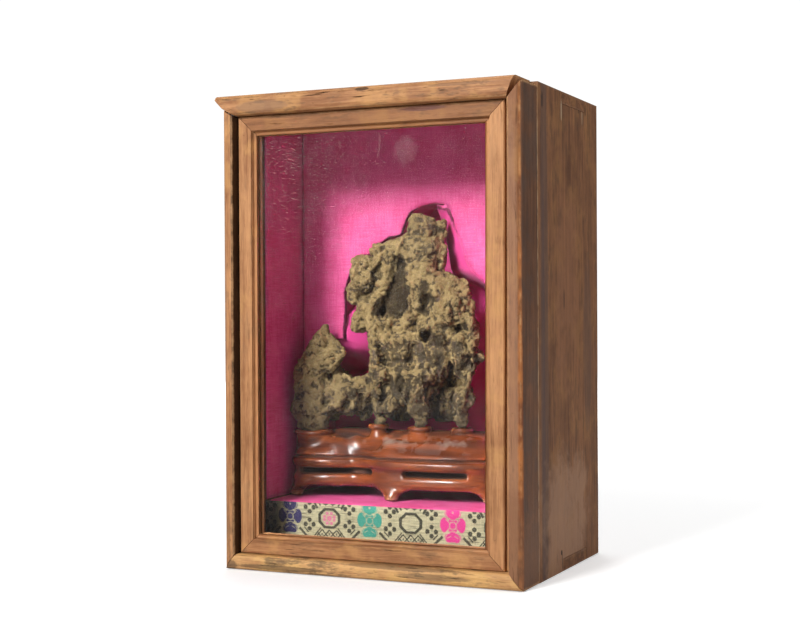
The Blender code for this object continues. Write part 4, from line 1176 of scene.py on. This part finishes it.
# The open face of the cleft, millimetres (x, z), cut back to a plane that faces right.
CLEFT = (
    (-11.5, 201), (-6.8, 193), (-6.2, 178), (-5.6, 164), (-12, 158.5), (-24, 159), (-32.5, 161.5),
    (-27.5, 168.5), (-21, 177), (-17.5, 187), (-15, 196),
)

# The rock's outline seen from 24 degrees right of the front, on the plane VIEW_PLANE.
ROCK_OUTLINE = (
    (-7.1, 224.6), (-4.3, 227.1), (1.2, 228.4), (6.7, 226.2), (9.4, 222.6), (13.8, 221),
    (17.3, 217.4), (16.4, 212.7), (14.2, 210), (16.9, 205.9), (19.1, 201.8), (18.5, 196.8),
    (16.9, 191.9), (17.2, 188.4), (19.5, 187.3), (22.8, 186.8), (24.9, 183.8), (28.7, 183.2),
    (31.9, 181.7), (33.7, 176.7), (35.6, 170.7), (38.2, 164.7), (36.6, 158.8), (40.3, 153.8),
    (41.6, 145.9), (40.2, 138.9), (42.3, 136), (45.2, 134.5), (44.7, 130.1), (40.7, 127.5),
    (37.5, 124), (35.8, 119), (36.3, 113.1), (39.5, 110.2), (39.3, 104.2), (36.3, 100.7),
    (32.5, 99.1), (32, 92.1), (31.4, 83.1), (30.8, 74.1), (-99.6, 69.7), (-99.5, 87.6), (-97.6, 96),
    (-93.4, 103.5), (-92.2, 113), (-92.7, 124.5), (-87.3, 131.9), (-83.1, 138.2), (-78.9, 145.5),
    (-74.2, 149.7), (-73, 153.9), (-71.2, 155.4), (-68, 152.8), (-64.3, 147.8), (-62.4, 144.4),
    (-59.1, 143), (-56.2, 141.6), (-57.2, 132.1), (-59.2, 127), (-54.6, 121.8), (-48.9, 118.3),
    (-42, 119.9), (-38.5, 123.1), (-36.8, 132.3), (-36.4, 140.5), (-37.8, 146.2), (-44.1, 149.7),
    (-51, 149.9), (-51.3, 151.8), (-48.1, 155.9), (-46.3, 161.1), (-45.7, 167.2), (-50.9, 169.3),
    (-54.3, 173), (-54.8, 178.6), (-50.8, 182.7), (-51.3, 189.9), (-45.5, 197), (-41.5, 200),
    (-37, 199.4), (-32.4, 197.8), (-31.5, 202.9), (-29, 206.4), (-23.9, 207.3), (-20, 211.3),
    (-14.4, 213.2), (-9.9, 214.1), (-8.8, 220.6),
)

VIEW_SLOPE = 0.4556
VIEW_PLANE = 8
# Cells of the grid (mm) and of the finished skin (m), and how far past a form is worked out (mm).
ROCK_GRID = 1
ROCK_SKIN = 0.00089
REACH = 9
# The rock stays over this floor, right of the silk wall and in front of the pad (mm).
ROCK_FLOOR = 88.6
ROCK_LEFT = -90.6
ROCK_BACK = 56
PAD_FACE = 13.2
PAD_GAP = 0.9


def limb_distance(p, limb):
    a, b = np.array(limb, float).reshape(2, 4)
    ab = (b - a)[:3]
    t = np.clip(((p - a[:3]) @ ab) / (ab @ ab), 0, 1)
    gap = np.linalg.norm(p - a[:3] - t[..., None] * ab, axis=-1)
    return gap - (a[3] + (b[3] - a[3]) * t)


def mass_distance(p, mass):
    middle, half = np.array(mass, float).reshape(2, 3)
    q = p - middle
    near = np.linalg.norm(q / half, axis=-1)
    slope = np.linalg.norm(q / half**2, axis=-1)
    return near * (near - 1) / np.maximum(slope, 1e-6)


def keep_clear(p, d):
    """Trims the rock so that it stays clear of its sockets, the padded back and the silk wall."""
    x, y, z = p[..., 0], p[..., 1], p[..., 2]
    floor = ROCK_FLOOR - z
    for cx, cy, rx, ry, rim, _ in SOCKETS:
        for room, level in ((-2.9, -2.6), (2.5, 0.7)):
            a, b = rx + room, ry + room
            well = np.maximum((rim + level) - z, tube(x - cx, y - cy, a, b, min(a, b)))
            floor = np.minimum(floor, well)
    d = np.maximum(np.maximum(d, floor), ROCK_LEFT - x)
    d = np.maximum(d, np.minimum(outline_distance(x, z, CUT_OUT) + PAD_GAP, y - PAD_FACE))
    return np.maximum(d, y - ROCK_BACK)


def rock_field(p):
    """Distance to the rock's surface in millimetres, negative inside."""
    warp = np.stack([lattice_noise(p, 13, 11 + n) for n in range(3)], axis=-1) * 1.5
    q = p + warp
    d = np.full(p.shape[:-1], 60.0)
    low = p[0, 0, 0]

    def near(points, radius):
        """The cells of the grid that a form can reach."""
        first = np.floor((np.min(points, 0) - radius - REACH - low) / ROCK_GRID).astype(int)
        last = np.ceil((np.max(points, 0) + radius + REACH - low) / ROCK_GRID).astype(int)
        return tuple(slice(max(a, 0), max(b, 0)) for a, b in zip(first, last))

    def along(limb):
        return near([limb[:3], limb[4:7]], max(limb[3], limb[7]))

    for mass in MASSES:
        spot = near([mass[:3]], np.array(mass[3:], float))
        d[spot] = blend(d[spot], mass_distance(q[spot], mass), 3)
    for limb in LIMBS:
        spot = along(limb)
        d[spot] = blend(d[spot], limb_distance(q[spot], limb), 2.4)
    furrow = np.abs(lattice_noise(p * np.array([1.0, 1.0, 0.62]), 7.5, 3))
    lumps = lattice_noise(p, 5, 5)
    d = d + 1.8 - 4.4 * furrow + lumps
    seen = q[..., 0] + VIEW_SLOPE * (q[..., 1] - VIEW_PLANE)
    d = np.maximum(d, outline_distance(seen, q[..., 2], ROCK_OUTLINE) * 0.9)
    for limb in HOLLOWS:
        spot = along(limb)
        d[spot] = carve(d[spot], limb_distance(q[spot], limb) + 1.6 * lumps[spot], 1.2)
    for limb in FINE_LIMBS:
        spot = along(limb)
        d[spot] = blend(d[spot], limb_distance(q[spot], limb) + 0.8 - 2.2 * furrow[spot], 1)
    for limb in FINE_HOLLOWS:
        spot = along(limb)
        d[spot] = carve(d[spot], limb_distance(q[spot], limb) + 2 * lumps[spot], 0.8)
    gap = outline_distance(q[..., 0], q[..., 2], CLEFT)
    gap = np.maximum(gap, q[..., 1] - (-1.2 + 0.52 * (q[..., 0] + 33)))
    return keep_clear(p, carve(d, gap, 0.5))


def sampled(points):
    """The rock's field read between its grid points."""
    q = np.clip((points - start) / ROCK_GRID, 0, np.array(field.shape) - 1.001)
    base = np.floor(q).astype(int)
    return read_between(field, base, q - base)


def rock_finish():
    material, shader, here = new_finish("weathered_limestone")
    pit = here.kept("pit")
    occlusion_shade = here.kept("occlusion_shade")
    bare_shaded = here.kept("bare_shaded")
    swirl = here.grain(120, 3, 0.6)
    grit = here.grain(1000, 4, 0.7)
    knot = here.grain(330, 4, 0.68, 0.5)
    crack = here.cells(360, "DISTANCE_TO_EDGE")
    upward = here.node("NewGeometry", None, None, 1).split()[2]
    crust = knot * 0.9 + (swirl - 0.5) * 0.6 + (0.5 - pit) * 0.45 + upward * 0.12
    crust = crust + (grit - 0.5) * 0.3
    across, _, height_of = here.split()
    washed = height_of.step(0.16, 0.138) * across.step(-0.046, -0.032)
    washed = washed.most(across.step(-0.012, 0) * height_of.step(0.186, 0.2))
    crust = (crust - bare_shaded * 0.22 - washed * 0.1).step(0.28, 0.52)
    stone = (swirl * 0.6 + grit * 0.4).step(0.3, 0.7)
    stone = stone.mix((0.07, 0.049, 0.025), (0.14, 0.103, 0.055))
    mauve = here.moved(0, 0, 0.3).grain(48, 3, 0.6).step(0.54, 0.68)
    stone = (mauve * 0.6).mix(stone, (0.15, 0.1, 0.085))
    dust = (grit * 0.7 + knot * 0.4).step(0.35, 0.75)
    dust = dust.mix((0.2, 0.139, 0.059), (0.345, 0.252, 0.112))
    shaded_stone = (grit * 0.7 + swirl * 0.4).step(0.35, 0.75)
    shaded_stone = shaded_stone.mix((0.026, 0.017, 0.009), (0.072, 0.051, 0.028))
    fleck = here.moved(0.2, 0, 0).grain(150, 2).step(0.52, 0.6)
    fleck = here.cells(520).step(0.14, 0.07) * fleck
    colour = layered(
        crust.mix(stone, dust),
        # the cleft and hollows: bare stone without dust, and painted darker as shade
        (bare_shaded * 0.8, shaded_stone),
        (pit.step(0.62, 0.95) * 0.6, (0.04, 0.031, 0.021)),
        # painted shade where the skin is shut in by the rock around it
        (occlusion_shade.step(0.35, 0.95) * 0.6, (0.032, 0.025, 0.017)),
        (height_of.step(0.135, 0.105) * 0.3, (0.05, 0.037, 0.022)),
        (fleck * 0.55, (0.5, 0.47, 0.4)),
    )
    height = knot + grit * 0.35 + crack.step(0, 0.22) * 0.22 + crust * 0.25
    feed(
        shader, Base_Color=colour, Roughness=(0.84 - fleck * 0.5), Specular_IOR_Level=0.18,
        Normal=relief(height, 0.0013, 0.9),
    )
    return material


start = np.array([-96.0, -20.0, 76.0])
grid = np.moveaxis(np.indices((152, 80, 162)), 0, -1)
field = rock_field(grid * ROCK_GRID + start)
verts, faces = surface_of(field, start, ROCK_GRID)
stone = shell("weathered_rock", (verts * MM).tolist(), faces.tolist())
seated(stone, rock_finish(), "rock")
largest_shell(stone.data)
reworked(stone, "REMESH", mode="VOXEL", voxel_size=ROCK_SKIN)
largest_shell(stone.data)
points = points_of(stone) / MM
normals = points_of(stone, "normal")
x, y, z = points.T
twisted = points + np.stack([lattice_noise(points, 5, 61 + n) for n in range(3)], axis=-1) * 1.6
cushion = np.abs(lattice_noise(twisted, 3.3, 64)) - 0.2
small = np.abs(lattice_noise(twisted, 1.7, 65)) - 0.2
rough = soft_step(lattice_noise(points, 16, 68), -0.35, 0.3) * 0.6 + 0.6
strand = np.abs(lattice_noise(twisted * np.array([1.0, 1.0, 0.28]), 3, 67))
bubble = lattice_noise(twisted, 3.1, 66)
low_part = soft_step(z - x * 0.4, 158, 136)
to_cleft = outline_distance(x, z, CLEFT)
rise = 2.1 * cushion * (1 - 0.5 * low_part) + 1.7 * small + (0.4 - 2 * strand) * low_part
rise = rise * rough - 1.8 * np.clip(bubble - 0.34, 0, 1)
rise = np.where((to_cleft < -1.5) & (y < 12), rise * 0.3, rise)
# the cleft and the hollows: bare of dust, and painted darker as shade in the finish
bare_shaded = soft_step(to_cleft, 1.5, -0.5) * (y < 13)
ragged = 2.6 * lattice_noise(points, 4, 71)
for limb in HOLLOWS + FINE_HOLLOWS:
    bare_shaded = np.maximum(bare_shaded, soft_step(limb_distance(points, limb) + ragged, 1.4, -0.8))
shut = sampled(points + normals * 5) / 5
tight = soft_step(sampled(points + normals), -0.2, 0.6)
rise = np.clip(rise, -1.5, 1.5) * tight * soft_step(z, 87, 92)
moved = points + normals * rise[:, None]
clear = keep_clear(moved, np.full(len(moved), -50.0))
moved = np.where((clear > -0.1)[:, None], points, moved)
move_points(stone, moved * MM)
keep_values(stone, "pit", np.clip(0.45 - rise * 0.6, 0, 1))
keep_values(stone, "bare_shaded", bare_shaded)
# how shut in each point is, for painted shade in the finish
keep_values(stone, "occlusion_shade", np.clip(1 - shut, 0, 1))
stone.data.polygons.foreach_set("use_smooth", [True] * len(stone.data.polygons))


# ---------------------------------------------------------------- floor, light and camera

def straight_view(here):
    """1 for what is seen directly or through the glass, 0 for light that has met a surface."""
    met = here.node("LightPath", None, None, 10) + here.node("LightPath", None, None, 11)
    return met.step(0.6, 0.4)


def studio_paper():
    """White paper, lit evenly to pure white away from the case."""
    material, shader, here = new_finish("white_paper")
    x, y, _ = here.split()
    far = apart(x, y)
    seen = straight_view(here)
    glow = far.step(0.3, 1.5) * 0.7 + 0.36
    feed(
        shader, Base_Color=seen.mix((0.5, 0.5, 0.5), (0.84, 0.84, 0.84)), Roughness=0.9,
        Specular_IOR_Level=0, Emission_Color=(glow * seen).mix((0, 0, 0), (1, 1, 1)),
        Emission_Strength=1,
    )
    return material


# Metres: half the width of the floor, and how far under the case it lies.
HALF_FLOOR = 6
UNDER = 0.0004
verts = [(x * HALF_FLOOR, y * HALF_FLOOR, -UNDER) for x, y in ((-1, -1), (1, -1), (1, 1), (-1, 1))]
paper = shell("paper_floor", verts, [(0, 1, 2, 3)])
paper.data.materials.append(studio_paper())


def softbox(name, place, toward, size, power):
    lamp = bpy.data.lights.new(name, "AREA")
    lamp.shape = "RECTANGLE"
    lamp.size, lamp.size_y = size
    lamp.energy = power
    thing = laid(name, lamp)
    thing.location = place
    aim = Vector(toward) - Vector(place)
    thing.rotation_euler = aim.to_track_quat("-Z", "Y").to_euler()


softbox("main_softbox", (-0.36, -1.8, 1.06), (0, 0, 0.15), (0.46, 0.46), 45)
softbox("top_softbox", (0.1, 0.7, 1.9), (0, 0.1, 0.1), (1.4, 1.4), 19)
softbox("side_softbox", (1.9, 0.5, 0.7), (0.1, 0, 0.15), (1, 1.4), 16)
softbox("back_softbox", (-1.2, 1.9, 0.9), (0, 0, 0.15), (1.2, 1.2), 16)

world = bpy.data.worlds.new("studio")
bpy.context.scene.world = world
world.use_nodes = True
sky = world.node_tree.nodes["Background"]
seen = straight_view(Finish(world.node_tree))
feed(sky, Color=(1, 1, 1), Strength=seen + 0.05)
bpy.context.scene.view_settings.view_transform = "Standard"

# Millimetres of focal length and sensor, the camera's place in metres, its turn in degrees.
FOCAL_LENGTH = 65.82
SENSOR = 36
CAMERA_PLACE = (0.38688, -0.87475, 0.16408)
CAMERA_TURN = (24.482, 0.404, -0.299)

camera = bpy.data.cameras.new("camera")
camera.lens = FOCAL_LENGTH
camera.sensor_width = SENSOR
camera.clip_start = 0.01
yaw, pitch, roll = (math.radians(a) for a in CAMERA_TURN)
aim = Vector((-math.sin(yaw) * math.cos(pitch), math.cos(yaw) * math.cos(pitch), -math.sin(pitch)))
level = Vector((math.cos(yaw), math.sin(yaw), 0))
above = level.cross(aim)
right = level * math.cos(roll) + above * math.sin(roll)
up = above * math.cos(roll) - level * math.sin(roll)
eye = laid("camera", camera)
eye.matrix_world = Matrix(
    [(right[i], up[i], -aim[i], CAMERA_PLACE[i]) for i in range(3)] + [(0, 0, 0, 1)]
)
bpy.context.scene.camera = eye
